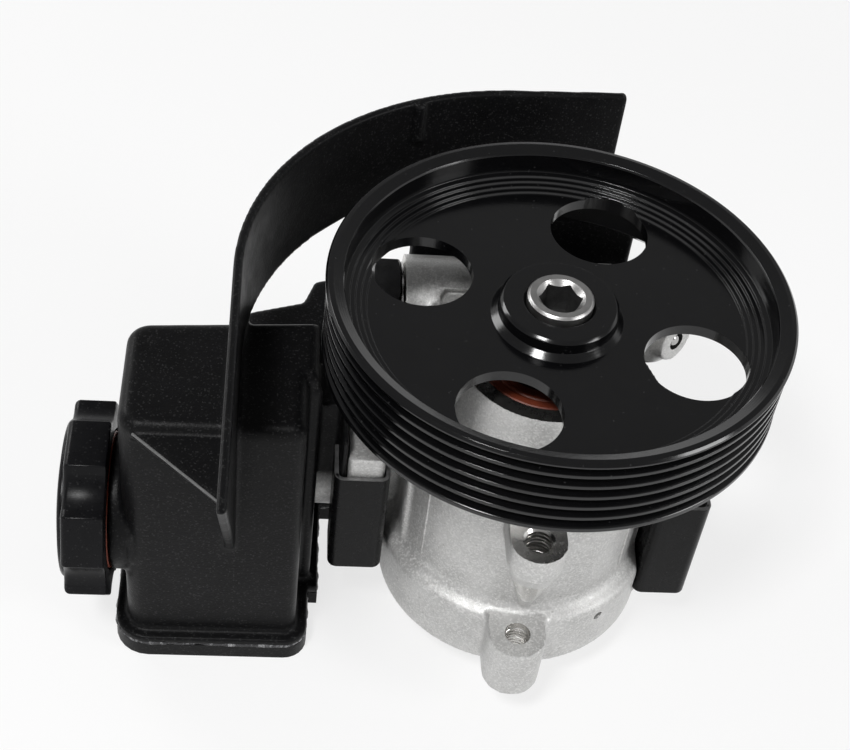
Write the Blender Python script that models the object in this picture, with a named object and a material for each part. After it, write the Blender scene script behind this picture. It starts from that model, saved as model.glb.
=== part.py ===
"""Power steering pump: belt pulley, vane pump in a cast housing, and a moulded reservoir.

All lengths are in metres. The origin is where the shaft's axis meets the rear face of the
housing. +Z runs along the shaft to the pulley, -Y is the side with the two threaded ears,
and -X is the side with the reservoir and its filler cap.
"""

import math

import bmesh
import bpy
from mathutils import Matrix, Vector

# Fits
SEAT = 0.0003
RUNNING = 0.00006
PRESSED = 0.00005
STEPS_LARGE = 40
STEPS_CARTRIDGE = 32
STEPS_SHAFT = 30
STEPS_SMALL = 16

# Pulley: poly-V rim, dished web with four holes, and a hub
PULLEY_R = 0.0575
NOSE_IN_PULLEY = 0.0003
CREST_BELOW_RIM = 0.00035
RIM_WALL = 0.00225
RIM_MOUTH_FLARE = 0.0012
RIM_REAR_FLARE = 0.0034
RIM_FRONT_LIP = 0.0014
RIM_REAR_LIP = 0.0025
GROOVES = 6
GROOVE_PITCH = 0.00356
GROOVE_DEPTH = 0.0029
GROOVE_CREST = 0.00096
GROOVE_HALF_ANGLE = math.radians(20)
WEB_FRONT_BELOW_RIM = 0.0098
WEB_THICKNESS = 0.003
WEB_RINGS = 4
WEB_RING_WIDTH = 0.0014
WEB_RING_RISE = 0.00065
HUB_WALL = 0.00652
HUB_HEIGHT = 0.0049
HUB_REAR_WALL = 0.00546
HUB_REAR_DEPTH = 0.0104
PULLEY_HOLES = 4
PULLEY_HOLE_R = 0.0128
PULLEY_HOLE_CIRCLE_R = 0.03576
PULLEY_HOLE_ANGLE = math.radians(-23.36)

# Drive shaft
SHAFT_R = 0.00824
SHAFT_ABOVE_HUB = 0.0018
SHAFT_CHAMFER = 0.0006
SOCKET_ACROSS_FLATS = 0.0095
SOCKET_DEPTH = 0.009
SOCKET_CHAMFER_R = 0.00605
SPLINE_BELOW_SHAFT = 0.00044
SPLINE_DEPTH = 0.0009
SPLINE_TEETH = 10
SNAP_RING_WIRE = 0.0011
SNAP_RING_RISE = 0.00116
SHAFT_TAIL = 0.0036

# Housing: barrel, rear ring and nose
BARREL_WALL = 0.0035
RING_PROUD = 0.0044
RING_HEIGHT = 0.0178
ROOF = 0.0025
NOSE_WALL = 0.0043
NOSE_FLARE = 0.0034
NOSE_ROOT_RISE = 0.005
GROOVE_FOR_RING = 0.0012
LEFT_PAD_INSET = 0.0002
RIGHT_PAD_INSET = 0.0006
PAD_FRONT_Y = -0.011
PAD_BACK_Y = 0.014

# Threaded ears on the front
EAR_X = -0.0025
EAR_OUT = 0.0083
EAR_R = 0.0073
EAR_ABOVE_SHOULDER = 0.0018
EAR_STRAIGHT = 0.008
EAR_FOOT_Z = 0.0195
EAR_FOOT_INSET = 0.0008
EAR_FOOT_R = 0.0012
REAR_EAR_R = 0.0077
REAR_EAR_Z = 0.002
REAR_EAR_THICKNESS = 0.017
THREAD_R = 0.0034
THREAD_CHAMFER = 0.0007
THREAD_DEPTH = 0.012

# Rails for the two clips, and the suction spigot on the left one
RAIL_WIDTH = 0.0098
RAIL_BACK_Y = 0.0134
RAIL_EDGE = 0.0016
LEFT_RAIL_FOOT_Z = 0.009
LEFT_RAIL_BELOW_SHOULDER = 0.0027
RIGHT_RAIL_FOOT_Z = 0.006
RIGHT_RAIL_BELOW_SHOULDER = 0.0097
RAIL_WEB_Y = 0.0025
SPIGOT_R = 0.0076
SPIGOT_BORE_R = 0.0052
SPIGOT_Y = 0.0056
SPIGOT_Z = 0.025
SPIGOT_ENTRY = 0.003

# Flow valve in its cross bore behind the barrel
VALVE_BEHIND_BARREL = 0.017
VALVE_BELOW_BORE_END = 0.0037
VALVE_BOSS_R = 0.014
VALVE_LEFT_X = -0.0332
VALVE_RIGHT_X = 0.047
VALVE_END_FILLET = 0.008
VALVE_BORE_R = 0.008
VALVE_BORE_END = 0.007
VALVE_WEB_X = (-0.026, 0.029)
VALVE_WEB_BELOW = 0.011
VALVE_WEB_ABOVE = 0.010
POCKET_DEPTH = 0.0015
SPOOL_LENGTH = 0.032
SPOOL_WAIST_R = 0.0058
SPOOL_STROKE = 0.006
VALVE_SPRING_R = 0.0052
VALVE_SPRING_WIRE_R = 0.0007
VALVE_SPRING_TURNS = 6
BALL_R = 0.0023
BALL_HOLE_R = 0.00265
BALL_HOLE_DEPTH = 0.0046
BALL_BOSS_R = 0.0064
BALL_BOSS_RISE = 0.0007

# Outlet fitting screwed into the valve bore
HEX_ACROSS_FLATS = 0.024
HEX_LENGTH = 0.0072
OUTLET_NOSE_R = 0.0087
OUTLET_NOSE_LENGTH = 0.0082
OUTLET_BORE_R = 0.0046
OUTLET_SHANK = 0.0105
WASHER_R = 0.0118
WASHER_THICKNESS = 0.0009
ORING_WIRE_R = 0.0009

# Shaft bush and lip seal in the nose
BUSH_WALL = 0.00206
BUSH_LENGTH = 0.020
BUSH_ABOVE_BORE_END = 0.0008
SEAL_R = 0.0182
SEAL_WIDTH = 0.0051
SEAL_BELOW_FACE = 0.0003
SEAL_LIP_R = 0.0112

# Vane cartridge, from the bore's shoulder to the rear
THRUST_PLATE = 0.0064
CAM_HEIGHT = 0.016
CAM_OVER_ROTOR = 0.0004
CAM_RISE = 0.0022
CAM_WALL = 0.0066
ROTOR_R = 0.0200
ROTOR_SIDE_GAP = 0.0001
VANES = 10
VANE_ANGLE = math.radians(18)
VANE_THICKNESS = 0.0015
ROTOR_CORE = 0.005
VANE_GAP = 0.00006
VANE_TIP = 0.0004
SLOT_POCKET_R = 0.0013
PRESSURE_PLATE = 0.0055
PLATE_SPRING_GAP = 0.0042
PLATE_SPRING_R = 0.012
PLATE_SPRING_WIRE_R = 0.0006
PLATE_SPRING_TURNS = 1.75
END_COVER = 0.0055
COVER_RIM = 0.0092
COVER_DISH_EDGE = 0.0015
COVER_DISH = 0.0015
END_RING_Z = 0.0138
END_RING_WIRE_R = 0.0008
END_RING_HOLE_R = 0.0014
END_RING_HOLE_ANGLE = math.radians(-56.1)
DOWEL_R = 0.002
DOWEL_IN_RIM = 0.0036
PORT_WIDTH = 0.0024
PORT_IN_ROTOR = 0.0008
PORT_HALF_ANGLE = math.radians(21)

# Reservoir: main tank, low tank behind the housing, weld flange and base
TANK_WIDTH = 0.046
TANK_STEP = 0.0028
TANK_BESIDE_RAIL = 0.0084
TANK_STEP_Y = -0.006
TANK_FRONT_Y = -0.025
TANK_BACK_LEFT_Y = 0.009
TANK_BACK_RIGHT_Y = 0.0135
TANK_BELOW_PULLEY = 0.0042
TANK_FOOT_Z = -0.006
TANK_WALL = 0.0024
TANK_EDGE = 0.0045
TANK_CORNER = 0.006
TANK_RIB_R = 0.0016
SUNK = 0.001
SADDLE_FRONT_Y = 0.025
SADDLE_ROOM = 0.0021
VALVE_ROOM = 0.012
SADDLE_TOP_Z = 0.033
SADDLE_START = math.atan(2)
SADDLE_END = math.radians(142)
SADDLE_ARM = 0.006
LINK_LEFT = 0.0203
LINK_BACK = ((0.0155, 0.0385), (0.0005, 0.0335))
LINK_FRONT = 0.003
LOFT_RIGHT = 0.0245
LOFT_BACK = ((0.0245, 0.0485, 0.002), (0.019, 0.0465, 0), (0.016, 0.038, 0), (0.001, 0.033, 0.002))
LOFT_FRONT = 0.004
BACK_WALL_ABOVE_VALVE = 0.0025
BACK_WALL_END = math.radians(114)
FLANGE_OUT = 0.004
FLANGE_THICKNESS = 0.0025
BASE_THICKNESS = 0.0049
BASE_FLOOR = 0.0024
CLAMP_FLANGE = 0.0015
CLAMP_ABOVE_SHOULDER = 0.0038
CLAMP_FOOT_Z = 0.012
BRIDGE_FOOT_Z = 0.0345
BRIDGE_FRONT_Y = -0.0018

# Belt shield moulded on the reservoir
SHIELD_ABOVE_PULLEY = 0.003
SHIELD_ROOT = 0.0005
SHIELD_WALL = 0.0023
SHIELD_FRONT_Y = -0.077
BELT_ROOM = 0.0195
SHIELD_CENTRE = Vector((-0.0024, -0.001))
SHIELD_SWEEP_END = math.radians(93.5)
SHIELD_END_X = 0.025
SHIELD_CORNER = 0.0016
SHIELD_TIP_Z = 0.030
GUSSET_THICKNESS = 0.002
GUSSET_INSET = 0.0037
SHIELD_RIB_ANGLE = math.radians(111.5)
SHIELD_RIB_WIDTH = 0.0025
SHIELD_RIB_HEIGHT = 0.013
SHIELD_RIB_DEPTH = 0.0014

# Filler neck and cap
CAP_Y = -0.007
CAP_Z = 0.027
NECK_R = 0.0184
NECK_LENGTH = 0.0034
NECK_THREAD_R = 0.0156
NECK_THREAD_LENGTH = 0.007
NECK_BORE_R = 0.0126
CAP_SEAL_R = 0.0188
CAP_SEAL_THICKNESS = 0.0012
CAP_R = 0.0264
CAP_LUGS = 6
CAP_LUG_HALF_ANGLE = math.radians(15.5)
CAP_SCALLOP = 0.0026
CAP_SCALLOP_ANGLE = math.radians(53.5)
CAP_HEIGHT = 0.0094
CAP_CHAMFER = 0.0012
CAP_DISC_R = 0.021
CAP_DOME = 0.0029
CAP_THREAD_GAP = 0.0004

# Clips that clamp the reservoir's flanges to the housing's rails
CLIP_THICKNESS = 0.0012
CLIP_DEPTH = 0.0125
CLIP_HEIGHT = 0.0362
CLIP_BEND_R = 0.0026
LEFT_CLIP_OUT = 0.0118
LEFT_CLIP_Y = -0.015
LEFT_CLIP_Z = 0.0110
RIGHT_CLIP_OUT = 0.0073
RIGHT_CLIP_Y = -0.0186
RIGHT_CLIP_Z = 0.0082
CUT_REACH = 0.03

# Shaft and vane cartridge, stacked from the retaining ring to the front
SPLINE_R = SHAFT_R - SPLINE_BELOW_SHAFT
SNAP_RING_R = SHAFT_R + SNAP_RING_RISE
BUSH_R = SHAFT_R + BUSH_WALL
VANE_LENGTH = ROTOR_R - SPLINE_R - ROTOR_CORE
CAM_MINOR_R = ROTOR_R + CAM_OVER_ROTOR
CARTRIDGE_R = CAM_MINOR_R + CAM_RISE + CAM_WALL
DOWEL_CIRCLE_R = CARTRIDGE_R - DOWEL_IN_RIM
PORT_OUTER_R = ROTOR_R - PORT_IN_ROTOR
PORT_INNER_R = PORT_OUTER_R - PORT_WIDTH
COVER_DISH_R = CARTRIDGE_R - COVER_RIM
COVER_Z = END_RING_Z + END_RING_WIRE_R + SEAT
PRESSURE_PLATE_Z = COVER_Z + END_COVER + SEAT + PLATE_SPRING_GAP
CAM_Z = PRESSURE_PLATE_Z + PRESSURE_PLATE + SEAT
THRUST_Z = CAM_Z + CAM_HEIGHT + SEAT
ROTOR_Z = CAM_Z + ROTOR_SIDE_GAP
ROTOR_HEIGHT = CAM_HEIGHT - 2 * ROTOR_SIDE_GAP
SNAP_RING_Z = ROTOR_Z - SEAT - SNAP_RING_WIRE
SHAFT_TAIL_Z = ROTOR_Z - SHAFT_TAIL

# Housing round the cartridge, the bush and the seal
BORE_R = CARTRIDGE_R + SEAT
BORE_DEPTH = THRUST_Z + THRUST_PLATE + SEAT
BARREL_R = BORE_R + BARREL_WALL
RING_R = BARREL_R + RING_PROUD
SHOULDER_Z = BORE_DEPTH + ROOF
NOSE_ROOT_Z = SHOULDER_Z + NOSE_ROOT_RISE
NOSE_R = SEAL_R + SEAT + NOSE_WALL
NOSE_ROOT_R = NOSE_R + NOSE_FLARE
SEAL_POCKET_Z = BORE_DEPTH + BUSH_ABOVE_BORE_END + BUSH_LENGTH + SEAT
HOUSING_LENGTH = SEAL_POCKET_Z + SEAT + SEAL_WIDTH + SEAL_BELOW_FACE
LEFT_PAD_X = BARREL_R - LEFT_PAD_INSET
RIGHT_PAD_X = BARREL_R - RIGHT_PAD_INSET
EAR_Y = -BARREL_R - EAR_OUT
EAR_FOOT_Y = -BARREL_R + EAR_FOOT_INSET
EAR_FACE_Z = SHOULDER_Z + EAR_ABOVE_SHOULDER
VALVE_Y = BARREL_R + VALVE_BEHIND_BARREL
VALVE_Z = BORE_DEPTH - VALVE_BELOW_BORE_END
VALVE_WEB_Z = (VALVE_Z - VALVE_WEB_BELOW, VALVE_Z + VALVE_WEB_ABOVE)
VALVE_BORE_RIGHT_X = VALVE_RIGHT_X - VALVE_BORE_END
WASHER_X = VALVE_LEFT_X - SEAT
HEX_X = WASHER_X - WASHER_THICKNESS - SEAT
SHANK_END_X = HEX_X + OUTLET_SHANK
SPOOL_X = SHANK_END_X + SEAT

# Pulley over the nose
CREST_R = PULLEY_R - CREST_BELOW_RIM
RIM_BORE_R = CREST_R - GROOVE_DEPTH - RIM_WALL
RIM_MOUTH_R = RIM_BORE_R + RIM_MOUTH_FLARE
RIM_REAR_MOUTH_R = RIM_BORE_R + RIM_REAR_FLARE
PULLEY_REAR_Z = HOUSING_LENGTH - NOSE_IN_PULLEY
PULLEY_FRONT_Z = (
    PULLEY_REAR_Z + RIM_REAR_LIP + RIM_FRONT_LIP
    + (GROOVES - 1) * GROOVE_PITCH + (GROOVE_PITCH - GROOVE_CREST)
)
WEB_FRONT_Z = PULLEY_FRONT_Z - WEB_FRONT_BELOW_RIM
HUB_R = SHAFT_R + HUB_WALL
HUB_REAR_R = SHAFT_R + HUB_REAR_WALL
HUB_FRONT_Z = WEB_FRONT_Z + HUB_HEIGHT
HUB_REAR_Z = WEB_FRONT_Z - WEB_THICKNESS - HUB_REAR_DEPTH
SHAFT_FRONT_Z = HUB_FRONT_Z + SHAFT_ABOVE_HUB

# Clips and rails beside the barrel
CLIP_INNER = RAIL_WIDTH + CLAMP_FLANGE + 3 * SEAT
CLIP_WIDTH = CLIP_INNER + 2 * CLIP_THICKNESS
LEFT_CLIP = Vector((-BARREL_R - LEFT_CLIP_OUT, LEFT_CLIP_Y, LEFT_CLIP_Z))
RIGHT_CLIP = Vector((BARREL_R + RIGHT_CLIP_OUT, RIGHT_CLIP_Y, RIGHT_CLIP_Z))
LEFT_RAIL_RIGHT_X = LEFT_CLIP.x + CLIP_INNER / 2 - SEAT
LEFT_RAIL_LEFT_X = LEFT_RAIL_RIGHT_X - RAIL_WIDTH
LEFT_RAIL_FRONT_Y = LEFT_CLIP.y + CLIP_THICKNESS + SEAT
LEFT_RAIL_Z = (LEFT_RAIL_FOOT_Z, SHOULDER_Z - LEFT_RAIL_BELOW_SHOULDER)
RIGHT_RAIL_LEFT_X = RIGHT_CLIP.x - CLIP_INNER / 2 + SEAT
RIGHT_RAIL_RIGHT_X = RIGHT_RAIL_LEFT_X + RAIL_WIDTH
RIGHT_RAIL_FRONT_Y = RIGHT_CLIP.y + CLIP_THICKNESS + SEAT
RIGHT_RAIL_Z = (RIGHT_RAIL_FOOT_Z, SHOULDER_Z - RIGHT_RAIL_BELOW_SHOULDER)

# Reservoir beside and behind the housing, with its shield round the pulley
TANK_STEP_X = LEFT_RAIL_LEFT_X - TANK_BESIDE_RAIL
TANK_RIGHT_X = TANK_STEP_X - TANK_STEP
TANK_LEFT_X = TANK_RIGHT_X - TANK_WIDTH
TANK_TOP_Z = PULLEY_REAR_Z - TANK_BELOW_PULLEY
LINK_LEFT_X = TANK_STEP_X - LINK_LEFT
SADDLE_INNER_R = RING_R + SADDLE_ROOM
SADDLE_OUTER_R = VALVE_Y + VALVE_BOSS_R + VALVE_ROOM
SADDLE_RIGHT_X = RIGHT_RAIL_RIGHT_X + SEAT + CLAMP_FLANGE + 0.0006
CLAMP_TOP_Z = SHOULDER_Z + CLAMP_ABOVE_SHOULDER
BACK_WALL_TOP_Z = VALVE_Z + VALVE_BOSS_R + BACK_WALL_ABOVE_VALVE
FLANGE_REAR_Z = TANK_FOOT_Z - FLANGE_THICKNESS
BASE_REAR_Z = FLANGE_REAR_Z - SEAT - BASE_THICKNESS
SHIELD_R = PULLEY_R + BELT_ROOM
SHIELD_TOP_Z = PULLEY_FRONT_Z + SHIELD_ABOVE_PULLEY
SHIELD_FOOT_Z = TANK_TOP_Z - SHIELD_ROOT
GUSSET_LEFT_X = TANK_LEFT_X + GUSSET_INSET
COLLAR_X = TANK_LEFT_X - NECK_LENGTH
CAP_SEAL_X = COLLAR_X - SEAT
CAP_X = CAP_SEAL_X - CAP_SEAL_THICKNESS - SEAT
TOWARDS_LEFT = (0, -math.pi / 2, 0)
TOWARDS_RIGHT = (0, math.pi / 2, 0)


# Materials
def finish(name, colour, roughness, metallic=0.0):
    """A plain Principled material."""
    made = bpy.data.materials.new(name)
    made.use_nodes = True
    shader = made.node_tree.nodes["Principled BSDF"]
    shader.inputs["Base Color"].default_value = (*colour, 1)
    shader.inputs["Roughness"].default_value = roughness
    shader.inputs["Metallic"].default_value = metallic
    made.diffuse_color = (*colour, 1)
    return made


# Building helpers
def add(name, bm, material, location=(0, 0, 0), rotation=(0, 0, 0)):
    """Makes the named object from a bmesh, shaded smooth up to its sharp edges."""
    bmesh.ops.remove_doubles(bm, verts=bm.verts, dist=1e-6)
    bmesh.ops.recalc_face_normals(bm, faces=bm.faces)
    mesh = bpy.data.meshes.new(name)
    bm.to_mesh(mesh)
    bm.free()
    mesh.shade_smooth()
    mesh.set_sharp_from_angle(angle=math.radians(32))
    mesh.materials.append(material)
    obj = bpy.data.objects.new(name, mesh)
    obj.location = location
    obj.rotation_euler = rotation
    bpy.context.scene.collection.objects.link(obj)
    return obj


def turned(name, profile, material, steps=STEPS_LARGE, **place):
    """Turns a closed profile of (radius, height) points round the local Z axis."""
    bm = bmesh.new()
    ring = [bm.verts.new((radius, 0, height)) for radius, height in profile]
    on_axis = [radius < 1e-7 for radius, _ in profile]
    edges = []
    for i, vert in enumerate(ring):
        j = (i + 1) % len(ring)
        if not (on_axis[i] and on_axis[j]):
            edges.append(bm.edges.new((vert, ring[j])))
    bmesh.ops.spin(
        bm, geom=ring + edges, cent=(0, 0, 0), axis=(0, 0, 1),
        angle=math.tau, steps=steps, use_merge=True,
    )
    return add(name, bm, material, **place)


def plate(name, outlines, low, high, material, **place):
    """Extrudes a flat outline from low to high. Outlines after the first are holes."""
    bm = bmesh.new()
    edges = []
    for outline in outlines:
        ring = [bm.verts.new((point[0], point[1], low)) for point in outline]
        for i, vert in enumerate(ring):
            edges.append(bm.edges.new((vert, ring[(i + 1) % len(ring)])))
    bmesh.ops.triangle_fill(bm, use_beauty=True, use_dissolve=False, edges=edges)
    made = bmesh.ops.extrude_face_region(bm, geom=bm.faces[:])
    lifted = [item for item in made["geom"] if isinstance(item, bmesh.types.BMVert)]
    bmesh.ops.translate(bm, verts=lifted, vec=(0, 0, high - low))
    return add(name, bm, material, **place)


def loft(name, sections, material, **place):
    """Skins sections of equal point counts in order, and closes both ends."""
    bm = bmesh.new()
    rings = [[bm.verts.new(point) for point in section] for section in sections]
    for lower, upper in zip(rings, rings[1:]):
        for i in range(len(lower)):
            j = (i + 1) % len(lower)
            bm.faces.new((lower[i], lower[j], upper[j], upper[i]))
    bm.faces.new(list(reversed(rings[0])))
    bm.faces.new(rings[-1])
    bmesh.ops.triangulate(bm, faces=[face for face in bm.faces if len(face.verts) > 4])
    return add(name, bm, material, **place)


def block(name, x, y, z, material, **place):
    """A box between the given ends along each axis."""
    corners = [(x[0], y[0]), (x[1], y[0]), (x[1], y[1]), (x[0], y[1])]
    return plate(name, [corners], z[0], z[1], material, **place)


def rod(name, radius, low, high, material, steps=STEPS_SMALL, **place):
    """A plain cylinder along the local Z axis."""
    profile = [(0, low), (radius, low), (radius, high), (0, high)]
    return turned(name, profile, material, steps=steps, **place)


def coil(name, radius, wire, low, high, turns, material, **place):
    """A round wire wound round the local Z axis."""
    curve = bpy.data.curves.new(name, "CURVE")
    curve.dimensions = "3D"
    curve.bevel_depth = wire
    curve.bevel_resolution = 0
    curve.use_fill_caps = True
    count = max(int(abs(turns) * 10), 8)
    spline = curve.splines.new("POLY")
    spline.points.add(count)
    for i, point in enumerate(spline.points):
        share = i / count
        angle = math.tau * turns * share
        height = low + (high - low) * share
        point.co = (radius * math.cos(angle), radius * math.sin(angle), height, 1)
    curve.materials.append(material)
    obj = bpy.data.objects.new(name, curve)
    obj.location = place.get("location", (0, 0, 0))
    obj.rotation_euler = place.get("rotation", (0, 0, 0))
    bpy.context.scene.collection.objects.link(obj)
    return obj


def combine(obj, other, operation):
    """Adds a live Boolean and hides the other body."""
    step = obj.modifiers.new(other.name, "BOOLEAN")
    step.operation = operation
    step.solver = "EXACT"
    step.object = other
    other.hide_render = True
    other.display_type = "WIRE"
    return obj


def join(obj, *others):
    for other in others:
        combine(obj, other, "UNION")


def carve(obj, *others):
    for other in others:
        combine(obj, other, "DIFFERENCE")


# Outlines
def circle(radius, steps, centre=(0, 0), start=0.0):
    return [
        (
            centre[0] + radius * math.cos(start + math.tau * i / steps),
            centre[1] + radius * math.sin(start + math.tau * i / steps),
        )
        for i in range(steps)
    ]


def arc(radius, start, end, steps, centre=(0, 0)):
    return [
        (
            centre[0] + radius * math.cos(start + (end - start) * i / steps),
            centre[1] + radius * math.sin(start + (end - start) * i / steps),
        )
        for i in range(steps + 1)
    ]


def rounded(corners, steps=3):
    """Fillets a polygon given as (x, y, radius) corners. A radius of 0 keeps the corner."""
    points = []
    for i, (x, y, radius) in enumerate(corners):
        here = Vector((x, y))
        if radius <= 0:
            points.append((x, y))
            continue
        before = (Vector(corners[i - 1][:2]) - here).normalized()
        after = (Vector(corners[(i + 1) % len(corners)][:2]) - here).normalized()
        half = before.angle(after) / 2
        centre = here + (before + after).normalized() * radius / math.sin(half)
        first = here + before * radius / math.tan(half) - centre
        last = here + after * radius / math.tan(half) - centre
        sweep = first.angle_signed(last)
        for k in range(steps + 1):
            turn = Matrix.Rotation(-sweep * k / steps, 2)
            spot = centre + turn @ first
            points.append((spot.x, spot.y))
    return points


def offset(corners, out):
    """Moves each side of a counter-clockwise (x, y, radius) polygon outwards by a distance."""
    moved = []
    for i, (x, y, radius) in enumerate(corners):
        here = Vector((x, y))
        before = (here - Vector(corners[i - 1][:2])).normalized()
        after = (Vector(corners[(i + 1) % len(corners)][:2]) - here).normalized()
        normal_a = Vector((before.y, -before.x))
        normal_b = Vector((after.y, -after.x))
        mitre = (normal_a + normal_b).normalized()
        spot = here + mitre * out / max(mitre.dot(normal_a), 0.3)
        convex = before.cross(after) > 0
        moved.append((spot.x, spot.y, max(radius + (out if convex else -out), 0.0003)
                      if radius > 0 else 0))
    return moved


def at_height(outline, z):
    return [(x, y, z) for x, y in outline]


def stadium(x, y, radius, inner_y, steps=10):
    """A half-round end on the -Y side, with straight sides back to inner_y."""
    end = arc(radius, math.pi, math.tau, steps, (x, y))
    return end + [(x + radius, inner_y), (x - radius, inner_y)]


# Pulley
def pulley_profile():
    """The rim's outer side from front to rear, then the inside back to the front."""
    groove_half = (GROOVE_PITCH - GROOVE_CREST) / 2
    root_half = groove_half - GROOVE_DEPTH * math.tan(GROOVE_HALF_ANGLE)
    root_r = CREST_R - GROOVE_DEPTH
    front = PULLEY_FRONT_Z
    points = [
        (RIM_MOUTH_R, front - 0.0011),
        (PULLEY_R - 0.0018, front),
        (PULLEY_R - 0.0006, front - 0.0002),
        (PULLEY_R, front - 0.0008),
        (PULLEY_R, front - RIM_FRONT_LIP + 0.0001),
    ]
    for i in range(GROOVES):
        middle = front - RIM_FRONT_LIP - groove_half - i * GROOVE_PITCH
        points += [
            (CREST_R, middle + groove_half),
            (root_r, middle + root_half),
            (root_r, middle - root_half),
            (CREST_R, middle - groove_half),
        ]
    rear = PULLEY_REAR_Z
    web_rear = WEB_FRONT_Z - WEB_THICKNESS
    points += [
        (PULLEY_R - 0.0001, rear + RIM_REAR_LIP - 0.0002),
        (PULLEY_R - 0.0001, rear + 0.0012),
        (PULLEY_R - 0.0014, rear),
        (RIM_REAR_MOUTH_R, rear),
        (RIM_BORE_R + 0.0002, rear + 0.0032),
        (RIM_BORE_R, web_rear - 0.0014),
        (RIM_BORE_R - 0.0014, web_rear),
        (HUB_REAR_R + 0.0018, web_rear),
        (HUB_REAR_R + 0.0004, web_rear - 0.0012),
        (HUB_REAR_R, HUB_REAR_Z),
        (SHAFT_R + PRESSED, HUB_REAR_Z),
        (SHAFT_R + PRESSED, HUB_FRONT_Z - 0.001),
        (SHAFT_R + 0.0009, HUB_FRONT_Z),
        (HUB_R - 0.0008, HUB_FRONT_Z),
        (HUB_R, HUB_FRONT_Z - 0.0007),
        (HUB_R + 0.0001, WEB_FRONT_Z + 0.0014),
        (HUB_R + 0.0018, WEB_FRONT_Z),
    ]
    first_r = RIM_BORE_R + 0.0005 - WEB_RINGS * WEB_RING_WIDTH
    for i in range(WEB_RINGS):
        radius = first_r + i * WEB_RING_WIDTH
        points += [
            (radius, WEB_FRONT_Z + i * WEB_RING_RISE),
            (radius + 0.0003, WEB_FRONT_Z + (i + 1) * WEB_RING_RISE),
        ]
    points += [
        (RIM_MOUTH_R - 0.0005, WEB_FRONT_Z + WEB_RINGS * WEB_RING_RISE + 0.0003),
        (RIM_MOUTH_R - 0.0003, front - 0.0016),
    ]
    return points


def make_pulley(materials):
    pulley = turned("pulley", pulley_profile(), materials["gloss_black"])
    for i in range(PULLEY_HOLES):
        angle = PULLEY_HOLE_ANGLE + math.tau * i / PULLEY_HOLES
        spot = (
            PULLEY_HOLE_CIRCLE_R * math.cos(angle),
            PULLEY_HOLE_CIRCLE_R * math.sin(angle),
            WEB_FRONT_Z,
        )
        drill = rod(
            f"cut_pulley_hole_{i}", PULLEY_HOLE_R, -2 * WEB_THICKNESS,
            WEB_THICKNESS, materials["gloss_black"], steps=24, location=spot,
        )
        carve(pulley, drill)
    return pulley


# Shaft
def spline_outline(clearance):
    """An even spline: one tooth and one gap per pitch, grown by a clearance."""
    points = []
    pitch = math.tau / SPLINE_TEETH
    tip = SPLINE_R + clearance
    root = SPLINE_R - SPLINE_DEPTH + clearance
    grow = clearance / SPLINE_R
    for i in range(SPLINE_TEETH):
        middle = i * pitch
        for share, radius in ((-0.27, root), (-0.21, tip), (0.21, tip), (0.27, root)):
            side = math.copysign(grow, share)
            angle = middle + share * pitch + side
            points.append((radius * math.cos(angle), radius * math.sin(angle)))
    return points


def make_shaft(materials):
    neck = SPLINE_R - SPLINE_DEPTH - 0.0004
    top = SHAFT_FRONT_Z
    profile = [
        (0, SHAFT_TAIL_Z),
        (neck - 0.0005, SHAFT_TAIL_Z),
        (neck, SHAFT_TAIL_Z + 0.0005),
        (neck, ROTOR_Z + ROTOR_HEIGHT + 0.0005),
        (SHAFT_R, ROTOR_Z + ROTOR_HEIGHT + 0.0014),
        (SHAFT_R, top - SHAFT_CHAMFER),
        (SHAFT_R - SHAFT_CHAMFER, top),
        (0, top),
    ]
    steel = materials["steel"]
    shaft = turned("drive_shaft", profile, steel, steps=STEPS_SHAFT)
    teeth = plate(
        "add_splines", [spline_outline(0)], SHAFT_TAIL_Z + 0.0008,
        ROTOR_Z + ROTOR_HEIGHT + 0.0009, steel,
    )
    join(shaft, teeth)
    snap_groove = turned(
        "cut_snap_ring_groove",
        [
            (neck, SNAP_RING_Z - SEAT / 2),
            (SHAFT_R, SNAP_RING_Z - SEAT / 2),
            (SHAFT_R, SNAP_RING_Z + SNAP_RING_WIRE + SEAT / 2),
            (neck, SNAP_RING_Z + SNAP_RING_WIRE + SEAT / 2),
        ],
        steel, steps=STEPS_SHAFT,
    )
    corner_r = SOCKET_ACROSS_FLATS / 2 / math.cos(math.pi / 6)
    socket = plate(
        "cut_hex_socket", [circle(corner_r, 6)], top - SOCKET_DEPTH, top + 0.001, steel,
    )
    mouth = turned(
        "cut_socket_chamfer",
        [(0, top - 0.0016), (SOCKET_CHAMFER_R - 0.0016, top - 0.0016),
         (SOCKET_CHAMFER_R + 0.0005, top + 0.0005), (0, top + 0.0005)],
        steel, steps=24,
    )
    carve(shaft, snap_groove, socket, mouth)
    ring = arc(neck + SEAT, 0.35, math.tau - 0.35, 16)
    back = arc(SNAP_RING_R, math.tau - 0.3, 0.3, 16)
    plate(
        "shaft_snap_ring", [ring + back], SNAP_RING_Z, SNAP_RING_Z + SNAP_RING_WIRE,
        materials["spring_steel"],
    )
    return shaft


# Vane cartridge
def cam_radius(angle):
    """Two lobes: the bore is widest on the Y axis and narrowest on the X axis."""
    return CAM_MINOR_R + CAM_RISE * math.sin(angle) ** 2


def vane_angle(index):
    return VANE_ANGLE + math.tau * index / VANES


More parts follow.
